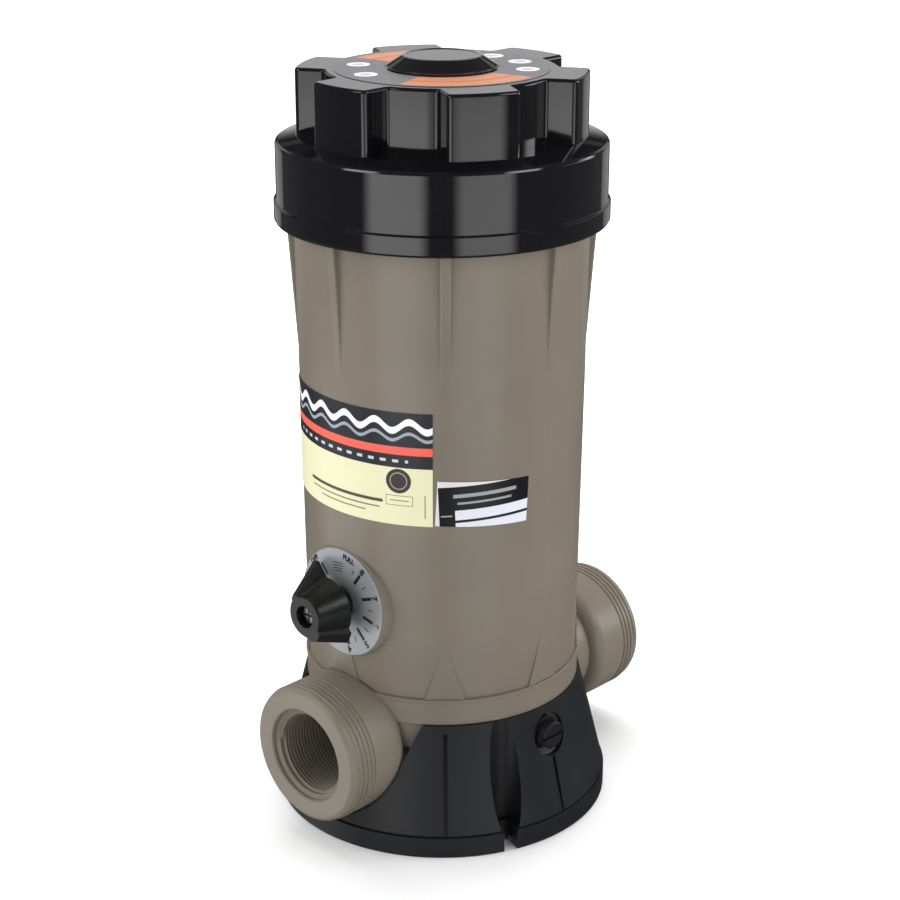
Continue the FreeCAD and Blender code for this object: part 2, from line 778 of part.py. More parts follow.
def make_lid():
    """Screwed lid: a smooth band below, a hollow lugged crown above."""
    bead_top = lid_bottom_z + lid_bead_height
    edge = lid_edge_radius
    shell = spun([
        (lid_bore_radius, lid_bottom_z),
        (lid_bead_radius - edge, lid_bottom_z),
        (lid_bead_radius - 0.4 * edge, lid_bottom_z + 0.3 * edge),
        (lid_bead_radius, lid_bottom_z + edge),
        (lid_bead_radius, bead_top - 0.8),
        (lid_band_radius, bead_top),
        (lid_band_radius, lid_band_top_z - edge),
        (lid_band_radius - 0.3 * edge, lid_band_top_z - 0.4 * edge),
        (lid_band_radius - edge, lid_band_top_z),
        (crown_lug_radius, shoulder_inner_z),
        (0, shoulder_inner_z),
        (0, lid_ceiling_z),
        (lid_bore_radius, lid_ceiling_z),
    ])
    shape = joined(shell, crown_block())
    hollow = lugged_block(crown_wall, lid_ceiling_z - 1, crown_top_z - crown_wall)
    half_groove = lid_seal_section + lid_seal_groove_side
    groove = spun([
        (lid_seal_circle - half_groove, lid_ceiling_z - 1),
        (lid_seal_circle + half_groove, lid_ceiling_z - 1),
        (lid_seal_circle + half_groove, lid_seal_z + lid_seal_section + SEAT_GAP),
        (lid_seal_circle - half_groove, lid_seal_z + lid_seal_section + SEAT_GAP),
    ])
    hole = rod(centre_hole_radius, Vector(0, 0, crown_top_z - 10), Vector(0, 0, crown_top_z + 1))
    return single(shape.cut([hollow, groove, hole]))


def make_lid_centre_cap():
    """Round cap that plugs the middle of the lid."""
    seat = crown_top_z + SEAT_GAP
    top = crown_top_z + centre_cap_height + centre_cap_dish
    stem = centre_hole_radius - RUNNING_GAP
    return single(spun([
        (0, crown_top_z - centre_stem_length),
        (stem - 1, crown_top_z - centre_stem_length),
        (stem, crown_top_z - centre_stem_length + 1),
        (stem, seat),
        (centre_cap_radius - 1.2, seat),
        (centre_cap_radius, seat + 0.6),
        (centre_cap_radius, seat + centre_cap_edge),
        (centre_cap_top_radius + 0.6, top - 0.3),
        (centre_cap_top_radius - 0.6, top),
        (centre_cap_top_radius - 2.4, top - centre_cap_dish),
        (0, top - centre_cap_dish),
    ]))


# Valve, dial and knob

def make_valve_rotor():
    """Hollow plug with a graded row of side ports, on a stem that carries the knob."""
    inner_end = valve_case_inner_end + valve_lip_thickness + rotor_end_gap
    outer_end = dial_boss_reach - bonnet_depth - rotor_end_gap
    radius = valve_bore_radius - RUNNING_GAP
    groove = radius - 2 * ring_section - 0.05
    outline = [(rotor_bore_radius, inner_end), (radius, inner_end)]
    for place in rotor_ring_places:
        low = place - ring_section - 0.05
        high = place + ring_section + 0.05
        outline += [(radius, low), (groove, low), (groove, high), (radius, high)]
    outline += [
        (radius, outer_end),
        (stem_radius, outer_end),
        (stem_radius, stem_tip),
        (0, stem_tip),
        (0, inner_end + rotor_bore_depth),
        (rotor_bore_radius, inner_end + rotor_bore_depth),
    ]
    body = spun(outline, UP * dial_z, OUT_FRONT)
    start = Vector(0, feed_y, dial_z)
    ports = []
    for mark, port_radius in zip(valve_marks, rotor_port_radii):
        turn = math.radians(-mark)
        side = Vector(math.sin(turn), 0, -math.cos(turn))
        ports.append(rod(port_radius, start, start + side * 2 * radius))
    flat = Part.makeBox(20, stem_tip - stem_flat_start + 1, 5,
                        Vector(-10, -stem_tip - 1, dial_z + stem_radius - stem_flat_depth))
    pilot = rod(knob_screw_shank_radius + SEAT_GAP, Vector(0, -stem_tip - 1, dial_z),
                Vector(0, -stem_tip + knob_screw_length, dial_z))
    return single(body.cut(ports + [flat, pilot]))


def make_rotor_ring(place):
    """Sealing ring in the rotor's groove."""
    circle = valve_bore_radius - RUNNING_GAP - ring_section
    return ring(circle, ring_section, Vector(0, -place, dial_z), OUT_FRONT)


def make_valve_bonnet():
    """Screwed gland that closes the valve case round the stem."""
    low = dial_boss_reach - bonnet_depth + SEAT_GAP
    high = dial_boss_reach - SEAT_GAP
    hole = stem_radius + RUNNING_GAP
    groove_low = low + 1.6
    groove_high = groove_low + 2 * ring_section + 0.1
    groove = bonnet_radius - 2 * ring_section - 0.05
    body = spun([
        (hole, low),
        (bonnet_radius, low),
        (bonnet_radius, groove_low),
        (groove, groove_low),
        (groove, groove_high),
        (bonnet_radius, groove_high),
        (bonnet_radius, high),
        (hole, high),
    ], UP * dial_z, OUT_FRONT)
    holes = [rod(1.6, Vector(x, -high + 3, dial_z), Vector(x, -high - 1, dial_z))
             for x in (-10.5, 10.5)]
    return single(body.cut(holes))


def make_bonnet_ring():
    """Sealing ring in the bonnet's groove."""
    place = dial_boss_reach - bonnet_depth + SEAT_GAP + 1.6 + ring_section + 0.05
    circle = bonnet_radius - ring_section
    return ring(circle, ring_section, Vector(0, -place, dial_z), OUT_FRONT)


def make_dial_plate():
    """Round scale plate on the boss."""
    return single(spun([
        (dial_plate_hole_radius, dial_boss_reach + SEAT_GAP),
        (dial_plate_radius, dial_boss_reach + SEAT_GAP),
        (dial_plate_radius, dial_face_reach - 0.3),
        (dial_plate_radius - 0.3, dial_face_reach),
        (dial_plate_hole_radius, dial_face_reach),
    ], UP * dial_z, OUT_FRONT))


def fin_section(along, reach, half_width):
    """Outline of a fin across the knob's axis, with a blunt point."""
    blunt = reach - half_width / 2
    points = [
        Vector(0, -along, -half_width),
        Vector(blunt, -along, -half_width),
        Vector(reach, -along, 0),
        Vector(blunt, -along, half_width),
        Vector(0, -along, half_width),
    ]
    return Part.makePolygon(points + points[:1])


def knob_fin(azimuth, start, reach, front_reach, half_width):
    """Tapered fin of the knob, from its axis out to a sloping edge."""
    low = dial_face_reach + LIFT_GAP
    fin = Part.makeLoft([
        fin_section(low + start, reach, half_width),
        fin_section(low + knob_length, front_reach, fin_front_share * half_width),
    ], True, True)
    fin.translate(UP * dial_z)
    fin.rotate(UP * dial_z, OUT_FRONT, azimuth)
    return fin


def make_control_knob():
    """Pointer knob that stands off the dial on a hub, with a short tail."""
    low = dial_face_reach + LIFT_GAP
    high = knob_front_reach
    skirt = low + knob_hub_length
    body = spun([
        (0, low),
        (knob_hub_radius, low),
        (knob_hub_radius, skirt),
        (knob_base_radius, skirt),
        (knob_front_radius, high - knob_edge_radius),
        (knob_front_radius - knob_edge_radius, high),
        (0, high),
    ], UP * dial_z, OUT_FRONT)
    shape = joined(
        body,
        knob_fin(pointer_azimuth, pointer_start, pointer_reach, pointer_front_reach,
                 pointer_half_width),
        knob_fin(pointer_azimuth + 180, tail_start, tail_reach, tail_front_reach,
                 tail_half_width),
    )
    hole = stem_radius + SEAT_GAP
    bore = rod(hole, Vector(0, -low + 1, dial_z), Vector(0, -stem_tip - 0.3, dial_z))
    flat = Part.makeBox(20, stem_tip - stem_flat_start - 0.3, 5,
                        Vector(-10, -stem_tip, dial_z + stem_radius - stem_flat_depth + SEAT_GAP))
    recess = rod(knob_recess_radius, Vector(0, -high + knob_recess_depth, dial_z),
                 Vector(0, -high - 1, dial_z))
    screw_hole = rod(knob_screw_shank_radius + 0.2, Vector(0, -stem_tip + 1, dial_z),
                     Vector(0, -high, dial_z))
    return single(shape.cut([bore.cut(flat), recess, screw_hole]))


def make_knob_screw():
    """Screw that holds the knob on the stem."""
    seat = knob_front_reach - knob_recess_depth + SEAT_GAP
    head = rod(knob_screw_head_radius, Vector(0, -seat, dial_z),
               Vector(0, -seat - knob_screw_head_height, dial_z))
    shank_end = stem_tip - knob_screw_length + 1
    shank = rod(knob_screw_shank_radius, Vector(0, -seat, dial_z), Vector(0, -shank_end, dial_z))
    depth = knob_screw_head_height / 2
    slots = [
        Part.makeBox(7, 2 * depth, 1.1, Vector(-3.5, -seat - 3 * depth, dial_z - 0.55)),
        Part.makeBox(1.1, 2 * depth, 7, Vector(-0.55, -seat - 3 * depth, dial_z - 3.5)),
    ]
    return single(head.fuse(shank).cut(slots))


# Drain plug

def plug_seat():
    """Place of the plug head's inner face."""
    return drain_boss_reach + 2 * plug_ring_section + 2 * SEAT_GAP


def make_drain_plug():
    """Slotted screw plug."""
    seat = plug_seat()
    tip = drain_boss_reach - plug_shank_length
    body = spun([
        (0, tip),
        (drain_thread_radius - 1, tip),
        (drain_thread_radius, tip + 1),
        (drain_thread_radius, drain_boss_reach - 0.5),
        (plug_ring_circle - plug_ring_section - SEAT_GAP, drain_boss_reach),
        (plug_ring_circle - plug_ring_section - SEAT_GAP, seat),
        (plug_head_radius + 1.4, seat),
        (plug_head_radius + 1.4, seat + 1.6),
        (plug_head_radius, seat + 1.6),
        (plug_head_radius, seat + plug_head_length - 0.8),
        (plug_head_radius - 0.8, seat + plug_head_length),
        (0, seat + plug_head_length),
    ], UP * drain_z, OUT_SIDE)
    half = plug_slot_width / 2
    end = seat + plug_head_length
    slot = Part.makeBox(plug_slot_depth + 1, 30, plug_slot_width,
                        Vector(end - plug_slot_depth, -15, drain_z - half))
    return single(body.cut(slot))


def make_drain_ring():
    """Sealing ring under the drain plug's head."""
    place = drain_boss_reach + SEAT_GAP + plug_ring_section
    return ring(plug_ring_circle, plug_ring_section, Vector(place, 0, drain_z), OUT_SIDE)


# Inner pieces

def make_feed_tube():
    """Tube that carries water from the inlet up to the valve."""
    low = Vector(0, feed_y, floor_z - feed_tube_seat + SEAT_GAP)
    high = Vector(0, feed_y, valve_spigot_z + feed_tube_entry - SEAT_GAP)
    return single(rod(feed_tube_radius, low, high).cut(rod(passage_radius, low, high)))


def make_tablet_grate():
    """Slotted plate on feet that keeps the tablets off the floor."""
    plate = rod(grate_radius, UP * grate_z, UP * (grate_z + grate_thickness))
    feet = [rod(grate_foot_radius, at(a, grate_foot_circle, floor_z + SEAT_GAP),
                at(a, grate_foot_circle, grate_z + 1)) for a in grate_foot_azimuths]
    shape = joined(plate, *feet)
    cuts = [rod(valve_spigot_radius + 1.5, Vector(0, feed_y, grate_z - 1),
                Vector(0, feed_y, grate_z + 10))]
    limit = grate_radius - grate_rim
    rows = int((limit - grate_slot_width) // grate_slot_pitch)
    for row in range(-rows, rows + 1):
        y = row * grate_slot_pitch
        if y < feed_y + valve_spigot_radius + 4:
            continue
        span = math.sqrt(limit ** 2 - (abs(y) + grate_slot_width / 2) ** 2)
        length = span - grate_bridge / 2
        for start in (-span, grate_bridge / 2):
            cuts.append(Part.makeBox(length, grate_slot_width, 3 * grate_thickness,
                                     Vector(start, y - grate_slot_width / 2,
                                            grate_z - grate_thickness)))
    for azimuth in grate_foot_azimuths:
        low = at(azimuth, grate_foot_circle, grate_z - 10)
        keep = rod(grate_foot_radius + 1.5, low, low + UP * 30)
        cuts = [c.cut(keep) for c in cuts]
    return single(shape.cut(cuts))


def make_outlet_strainer():
    """Slotted cap over the way back to the pipe."""
    low = floor_z + SEAT_GAP
    top = low + strainer_height
    inner = strainer_radius - strainer_wall
    cap = spun([
        (inner, low),
        (strainer_radius, low),
        (strainer_radius, top - 1),
        (strainer_radius - 1, top),
        (0, top),
        (0, top - strainer_wall),
        (inner, top - strainer_wall),
    ], Vector(0, return_y, 0))
    slot_low = floor_z + 3.6
    slots = []
    for k in range(strainer_slot_count):
        slot = Part.makeBox(strainer_slot_width, strainer_radius + 2, top - strainer_wall - slot_low,
                            Vector(-strainer_slot_width / 2, 0, slot_low))
        slot.rotate(ORIGIN, UP, (k + 0.5) * 360.0 / strainer_slot_count)
        slot.translate(Vector(0, return_y, 0))
        slots.append(slot)
    return single(cap.cut(slots))


def make_flow_restrictor():
    """Ring in the pipe that drives part of the flow up through the valve."""
    half = restrictor_length / 2
    outer = pipe_bore_radius - SEAT_GAP
    wide = restrictor_orifice_radius + restrictor_chamfer
    return single(spun([
        (wide, -half),
        (outer, -half),
        (outer, half),
        (wide, half),
        (restrictor_orifice_radius, half - restrictor_chamfer),
        (restrictor_orifice_radius, restrictor_chamfer - half),
    ], UP * port_z, OUT_BACK))


# Labels

def label_skin(low_z, high_z, half_angle):
    """Thin skin round the tank's wall, in narrow strips whose facets stay outside the wall."""
    low = tank_radius(low_z) + label_gap
    high = tank_radius(high_z) + label_gap
    band = spun([
        (low, low_z),
        (low + label_thickness, low_z),
        (high + label_thickness, high_z),
        (high, high_z),
    ])
    count = math.ceil(2 * half_angle / label_strip_angle)
    step = 2 * half_angle / count
    reach = 2 * tank_shoulder_radius
    wedge = sector(0, step, reach, low_z - 1, high_z + 1)
    strips = [band.common(turned(wedge, k * step - half_angle)) for k in range(count)]
    return strips[0].fuse(strips[1:])


def make_front_label():
    """Large label over the dial."""
    return label_skin(front_label_bottom_z, front_label_top_z, front_label_half_angle).Solids[0]


def make_rating_label():
    """Small label beside it, put on a little out of level."""
    half = rating_label_height / 2
    radius = tank_radius(rating_label_z)
    angle = math.degrees(rating_label_width / radius) / 2
    azimuth = front_label_half_angle + math.degrees(rating_label_gap / radius) + angle
    lean = rating_label_width / 2 * math.sin(math.radians(abs(rating_label_tilt)))
    across = radius * math.sin(math.radians(angle))
    skin = label_skin(rating_label_z - half - 2 * lean, rating_label_z + half + 2 * lean,
                      angle + label_strip_angle)
    cutter = Part.makeBox(2 * across, radius, rating_label_height,
                          Vector(-across, -1.5 * radius, rating_label_z - half))
    cutter.rotate(Vector(0, 0, rating_label_z), OUT_FRONT, rating_label_tilt)
    return turned(skin.common(cutter), azimuth).Solids[0]


def make_lid_label():
    """Ring label on the crown."""
    low = crown_top_z + SEAT_GAP
    return single(spun([
        (lid_label_inner_radius, low),
        (lid_label_outer_radius, low),
        (lid_label_outer_radius, low + label_thickness),
        (lid_label_inner_radius, low + label_thickness),
    ]))


PIECES = {
    "base": make_base,
    "base_screws": make_base_screws,
    "port_housing": make_port_housing,
    "tank": make_tank,
    "lid": make_lid,
    "lid_seal_ring": lambda: ring(lid_seal_circle, lid_seal_section, UP * lid_seal_z),
    "lid_centre_cap": make_lid_centre_cap,
    "lid_label": make_lid_label,
    "valve_rotor": make_valve_rotor,
    "rotor_ring_inner": lambda: make_rotor_ring(rotor_ring_places[0]),
    "rotor_ring_outer": lambda: make_rotor_ring(rotor_ring_places[1]),
    "valve_bonnet": make_valve_bonnet,
    "bonnet_ring": make_bonnet_ring,
    "dial_plate": make_dial_plate,
    "control_knob": make_control_knob,
    "knob_screw": make_knob_screw,
    "drain_plug": make_drain_plug,
    "drain_ring": make_drain_ring,
    "feed_tube": make_feed_tube,
    "tablet_grate": make_tablet_grate,
    "outlet_strainer": make_outlet_strainer,
    "flow_restrictor": make_flow_restrictor,
    "front_label": make_front_label,
    "rating_label": make_rating_label,
}


def main():
    """Build every piece and write one file for each."""
    os.makedirs("parts", exist_ok=True)
    for name, make in PIECES.items():
        shape = make()
        box = shape.BoundBox
        print("%-18s solids %d valid %s volume %9.0f  x %.1f..%.1f  y %.1f..%.1f  z %.1f..%.1f" % (
            name, len(shape.Solids), shape.isValid(), shape.Volume,
            box.XMin, box.XMax, box.YMin, box.YMax, box.ZMin, box.ZMax))
        shape.exportStep("parts/%s.step" % name)


main()
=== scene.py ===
# %% [markdown]
# # Dressing an inline pool chlorinator
#
# A pool chlorinator is an upright plastic tank of chlorine tablets. Pool water runs through the
# pipe under it, and a dial valve lets part of that water up to the tablets. The CAD frame holds
# the shapes, sizes and joints. This notebook gives each part its finish, and models what CAD
# leaves out: the threads, the figures on the dial and the print on the labels.

# %% Load the frame
import json
import math

import bmesh
import bpy
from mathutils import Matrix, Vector

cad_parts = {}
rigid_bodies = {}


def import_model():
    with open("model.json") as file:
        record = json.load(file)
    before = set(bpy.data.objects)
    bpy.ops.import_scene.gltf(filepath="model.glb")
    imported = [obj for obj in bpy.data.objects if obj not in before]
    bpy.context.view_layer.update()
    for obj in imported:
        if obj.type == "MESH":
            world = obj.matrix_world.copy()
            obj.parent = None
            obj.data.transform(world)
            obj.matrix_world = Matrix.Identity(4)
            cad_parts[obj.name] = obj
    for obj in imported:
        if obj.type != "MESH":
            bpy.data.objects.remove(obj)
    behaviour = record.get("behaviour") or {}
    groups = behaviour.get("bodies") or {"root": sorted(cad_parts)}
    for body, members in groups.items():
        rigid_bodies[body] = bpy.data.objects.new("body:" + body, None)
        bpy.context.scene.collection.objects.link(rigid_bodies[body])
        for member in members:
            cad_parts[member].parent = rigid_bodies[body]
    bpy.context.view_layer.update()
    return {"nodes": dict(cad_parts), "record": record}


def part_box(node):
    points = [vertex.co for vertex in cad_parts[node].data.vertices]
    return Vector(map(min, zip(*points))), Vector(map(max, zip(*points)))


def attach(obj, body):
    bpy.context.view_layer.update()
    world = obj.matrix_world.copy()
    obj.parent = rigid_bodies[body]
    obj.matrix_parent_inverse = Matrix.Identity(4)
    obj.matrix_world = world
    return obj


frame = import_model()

MM = 0.001
NODES = frame["nodes"]
MOUNTS = {mount["name"]: mount for mount in frame["record"]["mounts"]}

# %% [markdown]
# ## Places to work from
#
# The new pieces sit on CAD parts, so their places are read from the frame: the axis of each port
# from its mount, and the dial and the top of the neck from their boxes. Only radii that no box
# can give, such as the wall of the neck, are written out here in millimetres.

# %% Read the places
NECK_TOP_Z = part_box("tank")[1].z
dial_low, dial_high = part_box("dial_plate")
DIAL_CENTRE = Vector((0, dial_low.y, (dial_low.z + dial_high.z) / 2))
NECK_RADIUS = 81.2 * MM
LID_BORE_RADIUS = 85.4 * MM
LABEL_RADIUS = 78.3 * MM      # the tank's wall under the labels
print("dial centre", tuple(round(c, 4) for c in DIAL_CENTRE))

# %% [markdown]
# ## Small tools for edit mode
#
# An operator acts on everything that is selected, and loading the frame leaves the CAD parts
# selected. So each step first clears the selection, opens one piece, and picks its vertices,
# edges or faces in code, by their place.

# %% Selection helpers
SMOOTH_ANGLE = math.radians(35)


def only(piece):
    """Makes a piece the one that is selected and active."""
    bpy.ops.object.select_all(action="DESELECT")
    piece.select_set(True)
    bpy.context.view_layer.objects.active = piece


def open_piece(piece):
    """Opens a piece in edit mode."""
    only(piece)
    bpy.ops.object.mode_set(mode="EDIT")


def close_piece():
    """Leaves edit mode."""
    bpy.ops.object.mode_set(mode="OBJECT")


def pick(piece, kind, wanted):
    """Selects, in the open piece, the elements of a kind (VERT, EDGE or FACE) that are wanted."""
    bpy.ops.mesh.select_mode(type=kind)
    bpy.ops.mesh.select_all(action="DESELECT")
    mesh = bmesh.from_edit_mesh(piece.data)
    elements = {"VERT": mesh.verts, "EDGE": mesh.edges, "FACE": mesh.faces}[kind]
    for element in elements:
        if wanted(element):
            element.select_set(True)
    mesh.select_flush_mode()
    bmesh.update_edit_mesh(piece.data)


def apply_place(piece):
    """Moves a piece's place, turn and scale into its mesh, so that its object sits at the origin."""
    only(piece)
    bpy.ops.object.transform_apply(location=True, rotation=True, scale=True)


def finish_piece(piece, body, material):
    """Places a piece for good, gives it its finish and lets it ride on a body."""
    apply_place(piece)
    bpy.ops.object.shade_smooth_by_angle(angle=SMOOTH_ANGLE)
    piece.data.materials.clear()
    piece.data.materials.append(material)
    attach(piece, body)
    print(piece.name, "faces:", len(piece.data.polygons), "body:", body)


# %% [markdown]
# ## Colours and small node tools
#
# Screen colours are gamma-coded, while shaders work in linear light, so a colour that was judged
# on a screen is converted once, here. The other helpers keep the node trees short: one makes a
# Math node and one lays a colour over another where a mask is 1.

# %% Node helpers
NOISE_LOW = 0.3      # nearly all of a noise lies between these two
NOISE_HIGH = 0.7


def screen(red, green, blue):
    """Linear colour from 0 to 255 screen values."""
    def channel(value):
        value /= 255
        return value / 12.92 if value <= 0.04045 else ((value + 0.055) / 1.055) ** 2.4
    return (channel(red), channel(green), channel(blue), 1)


def feed(tree, socket, value):
    """Puts a number, a colour or another node's output into a socket."""
    if isinstance(value, bpy.types.NodeSocket):
        tree.links.new(value, socket)
    else:
        socket.default_value = value


def calc(tree, operation, *values):
    """Result of a Math node."""
    node = tree.nodes.new("ShaderNodeMath")
    node.operation = operation
    for socket, value in zip(node.inputs, values):
        feed(tree, socket, value)
    return node.outputs[0]


def lay_over(tree, under, over, mask):
    """Colour that is over where the mask is 1, and under where it is 0."""
    node = tree.nodes.new("ShaderNodeMix")
    node.data_type = "RGBA"
    feed(tree, node.inputs["Factor"], mask)
    feed(tree, node.inputs["A"], under)
    feed(tree, node.inputs["B"], over)
    return node.outputs["Result"]


def spread(tree, value, low, high):
    """Value of a noise, stretched from its usual middle range to lie between low and high."""
    node = tree.nodes.new("ShaderNodeMapRange")
    node.inputs["From Min"].default_value = NOISE_LOW
    node.inputs["From Max"].default_value = NOISE_HIGH
    node.inputs["To Min"].default_value = low
    node.inputs["To Max"].default_value = high
    feed(tree, node.inputs["Value"], value)
    return node.outputs["Result"]


def noise(tree, place, grain, detail):
    """Noise whose patches are about as large as grain, in metres."""
    node = tree.nodes.new("ShaderNodeTexNoise")
    node.inputs["Scale"].default_value = 1 / grain
    node.inputs["Detail"].default_value = detail
    feed(tree, node.inputs["Vector"], place)
    return node.outputs["Fac"]


def object_place(tree):
    """Place of a shaded point in the object's own frame."""
    return tree.nodes.new("ShaderNodeTexCoord").outputs["Object"]


def place_axes(tree):
    """The X, Y and Z of that place."""
    split = tree.nodes.new("ShaderNodeSeparateXYZ")
    feed(tree, split.inputs["Vector"], object_place(tree))
    return tuple(split.outputs)


def from_axis(tree, x, y):
    """Distance from the Z axis."""
    squares = [calc(tree, "POWER", side, 2) for side in (x, y)]
    return calc(tree, "SQRT", calc(tree, "ADD", *squares))


# %% [markdown]
# ## One recipe for moulded plastic
#
# Every hard part here is injection moulded. Such a surface isn't perfectly even: its colour
# drifts slightly with the flow of the plastic, its gloss varies where hands and the mould touched
# it, and the skin has a very fine orange-peel ripple. Edges are never knife sharp, so a Bevel
# node rounds the shading there, and the ripple is laid over it with a Bump node.

# %% Moulded plastic
DRIFT_GRAIN = 60 * MM       # patches where the colour drifts
HANDLED_GRAIN = 26 * MM     # patches where the gloss varies
COAT_ROUGHNESS = 0.04
BEVEL_SAMPLES = 4


def new_material(name):
    """Empty material with a Principled shader. Returns the material, its tree and the shader."""
    material = bpy.data.materials.new(name)
    material.use_nodes = True
    tree = material.node_tree
    return material, tree, tree.nodes["Principled BSDF"]


def rounded_edges(tree, radius):
    """Normal that is rounded at edges."""
    node = tree.nodes.new("ShaderNodeBevel")
    node.samples = BEVEL_SAMPLES
    node.inputs["Radius"].default_value = radius
    return node.outputs["Normal"]


def ripple(tree, height_map, depth, normal):
    """Normal with a fine relief of a given depth in metres."""
    node = tree.nodes.new("ShaderNodeBump")
    node.inputs["Strength"].default_value = 1.0
    node.inputs["Distance"].default_value = depth
    feed(tree, node.inputs["Height"], height_map)
    feed(tree, node.inputs["Normal"], normal)
    return node.outputs["Normal"]


def plastic(name, dark, light, gloss_low, gloss_high, grain, depth, edge, coat=0.0):
    """Moulded plastic between two near colours, with a roughness range and a fine ripple."""
    material, tree, shader = new_material(name)
    place = object_place(tree)
    drift = spread(tree, noise(tree, place, DRIFT_GRAIN, 2), 0, 1)
    feed(tree, shader.inputs["Base Color"], lay_over(tree, dark, light, drift))
    handled = noise(tree, place, HANDLED_GRAIN, 2)
    feed(tree, shader.inputs["Roughness"], spread(tree, handled, gloss_low, gloss_high))
    skin = noise(tree, place, grain, 2)
    feed(tree, shader.inputs["Normal"], ripple(tree, skin, depth, rounded_edges(tree, edge)))
    shader.inputs["Coat Weight"].default_value = coat
    shader.inputs["Coat Roughness"].default_value = COAT_ROUGHNESS
    return material


body_grey = plastic("body_grey", screen(115, 107, 96), screen(121, 113, 101),
                    0.28, 0.31, 1.3 * MM, 0.008 * MM, 0.5 * MM)
base_black = plastic("base_black", screen(22, 23, 26), screen(27, 28, 31),
                     0.40, 0.50, 1.0 * MM, 0.012 * MM, 0.5 * MM)
lid_black = plastic("lid_black", screen(12, 12, 15), screen(16, 16, 19),
                    0.09, 0.15, 6.0 * MM, 0.010 * MM, 0.6 * MM, coat=1.0)
knob_black = plastic("knob_black", screen(20, 21, 21), screen(26, 27, 27),
                     0.24, 0.32, 0.9 * MM, 0.010 * MM, 0.4 * MM)
inner_plastic = plastic("inner_plastic", screen(206, 203, 194), screen(214, 211, 202),
                        0.35, 0.42, 1.2 * MM, 0.008 * MM, 0.3 * MM)
seal_rubber = plastic("seal_rubber", screen(24, 24, 24), screen(32, 32, 32),
                      0.50, 0.62, 0.5 * MM, 0.010 * MM, 0.2 * MM)

# %% [markdown]
# ## Metal: the dial and the screws
#
# The scale plate is metallised film under a clear skin. It is a satin mirror with very fine
# brushing, so it picks up the bright and dark parts of the room, but the skin keeps it from going
# black, which a lower Metallic value gives. Stainless screws are pure metal with less blue.

# %% Dial foil and screw steel
BRUSH_STRETCH = 0.04        # scale along the brushing, against 1 across it
BRUSH_DEPTH = 0.002 * MM


def metal(name, colour, roughness_low, roughness_high, grain, edge, metallic=1.0):
    """Brushed metal whose fine lines run across the object's X axis."""
    material, tree, shader = new_material(name)
    stretch = tree.nodes.new("ShaderNodeMapping")
    stretch.inputs["Scale"].default_value = (BRUSH_STRETCH, 1, 1)
    feed(tree, stretch.inputs["Vector"], object_place(tree))
    lines = noise(tree, stretch.outputs["Vector"], grain, 4)
    feed(tree, shader.inputs["Roughness"], spread(tree, lines, roughness_low, roughness_high))
    feed(tree, shader.inputs["Normal"], ripple(tree, lines, BRUSH_DEPTH, rounded_edges(tree, edge)))
    shader.inputs["Base Color"].default_value = colour
    shader.inputs["Metallic"].default_value = metallic
    return material


dial_metal = metal("dial_metal", screen(176, 178, 183), 0.34, 0.46, 0.25 * MM, 0.3 * MM, 0.6)
screw_steel = metal("screw_steel", screen(150, 148, 142), 0.22, 0.34, 0.4 * MM, 0.2 * MM)

# %% [markdown]
# ## Print on the labels
#
# A label is flat print wrapped round the tank. Its pattern is drawn on two measures: the distance
# round the wall, which is the angle times the radius, and the height. Math nodes turn these into
# plain masks, such as a rectangle or a disc, and each mask lays one ink over the last.

# %% Measures and masks
def wrap(tree, azimuth, radius):
    """Distance round the wall from an azimuth, and height, both in millimetres."""
    x, y, z = place_axes(tree)
    angle = calc(tree, "ARCTAN2", x, calc(tree, "MULTIPLY", y, -1))
    turned = calc(tree, "SUBTRACT", angle, math.radians(azimuth))
    return calc(tree, "MULTIPLY", turned, radius / MM), calc(tree, "DIVIDE", z, MM)


def inside(tree, value, low, high):
    """Mask that is 1 between two values."""
    return calc(tree, "COMPARE", value, (low + high) / 2, (high - low) / 2)


def field(tree, across, up, left, right, low, high):
    """Mask of a rectangle."""
    return calc(tree, "MULTIPLY", inside(tree, across, left, right), inside(tree, up, low, high))


def disc(tree, across, up, centre, radius):
    """Mask of a round spot."""
    side = calc(tree, "POWER", calc(tree, "SUBTRACT", across, centre[0]), 2)
    rise = calc(tree, "POWER", calc(tree, "SUBTRACT", up, centre[1]), 2)
    return calc(tree, "LESS_THAN", calc(tree, "ADD", side, rise), radius ** 2)


def print_layers(tree, colour, layers):
    """Lays inks over a colour, each where its mask is 1."""
    for ink, mask in layers:
        colour = lay_over(tree, colour, ink, mask)
    return colour


def vinyl(name):
    """Label material with a slightly uneven gloss. Returns the material, tree and shader."""
    material, tree, shader = new_material(name)
    uneven = noise(tree, object_place(tree), 4 * MM, 3)
    feed(tree, shader.inputs["Roughness"], spread(tree, uneven, 0.30, 0.40))
    return material, tree, shader


# %% [markdown]
# The large label has a dark head with two light waves, a red line and a row of dashes, and a
# cream field with rules, a dark spot and an outlined box. The waves are sine curves of the
# distance round the wall, and a point is inked where it lies near a curve.

# %% Front label
HEAD_LOW = 222.3
WAVE_LENGTH = 19.0
SPOT_CENTRE = (36.6, 214.8)


def wave(tree, across, up, middle, swing, length, half_width):
    """Mask of a wavy stroke."""
    phase = calc(tree, "MULTIPLY", across, 2 * math.pi / length)
    line = calc(tree, "MULTIPLY_ADD", calc(tree, "SINE", phase), swing, middle)
    return calc(tree, "COMPARE", up, line, half_width)


def dashes(tree, across, up, pitch, length, low, high, reach):
    """Mask of a row of dashes, out to a reach each side."""
    part = calc(tree, "PINGPONG", across, pitch / 2)
    short = calc(tree, "LESS_THAN", part, length / 2)
    return calc(tree, "MULTIPLY", short, field(tree, across, up, -reach, reach, low, high))


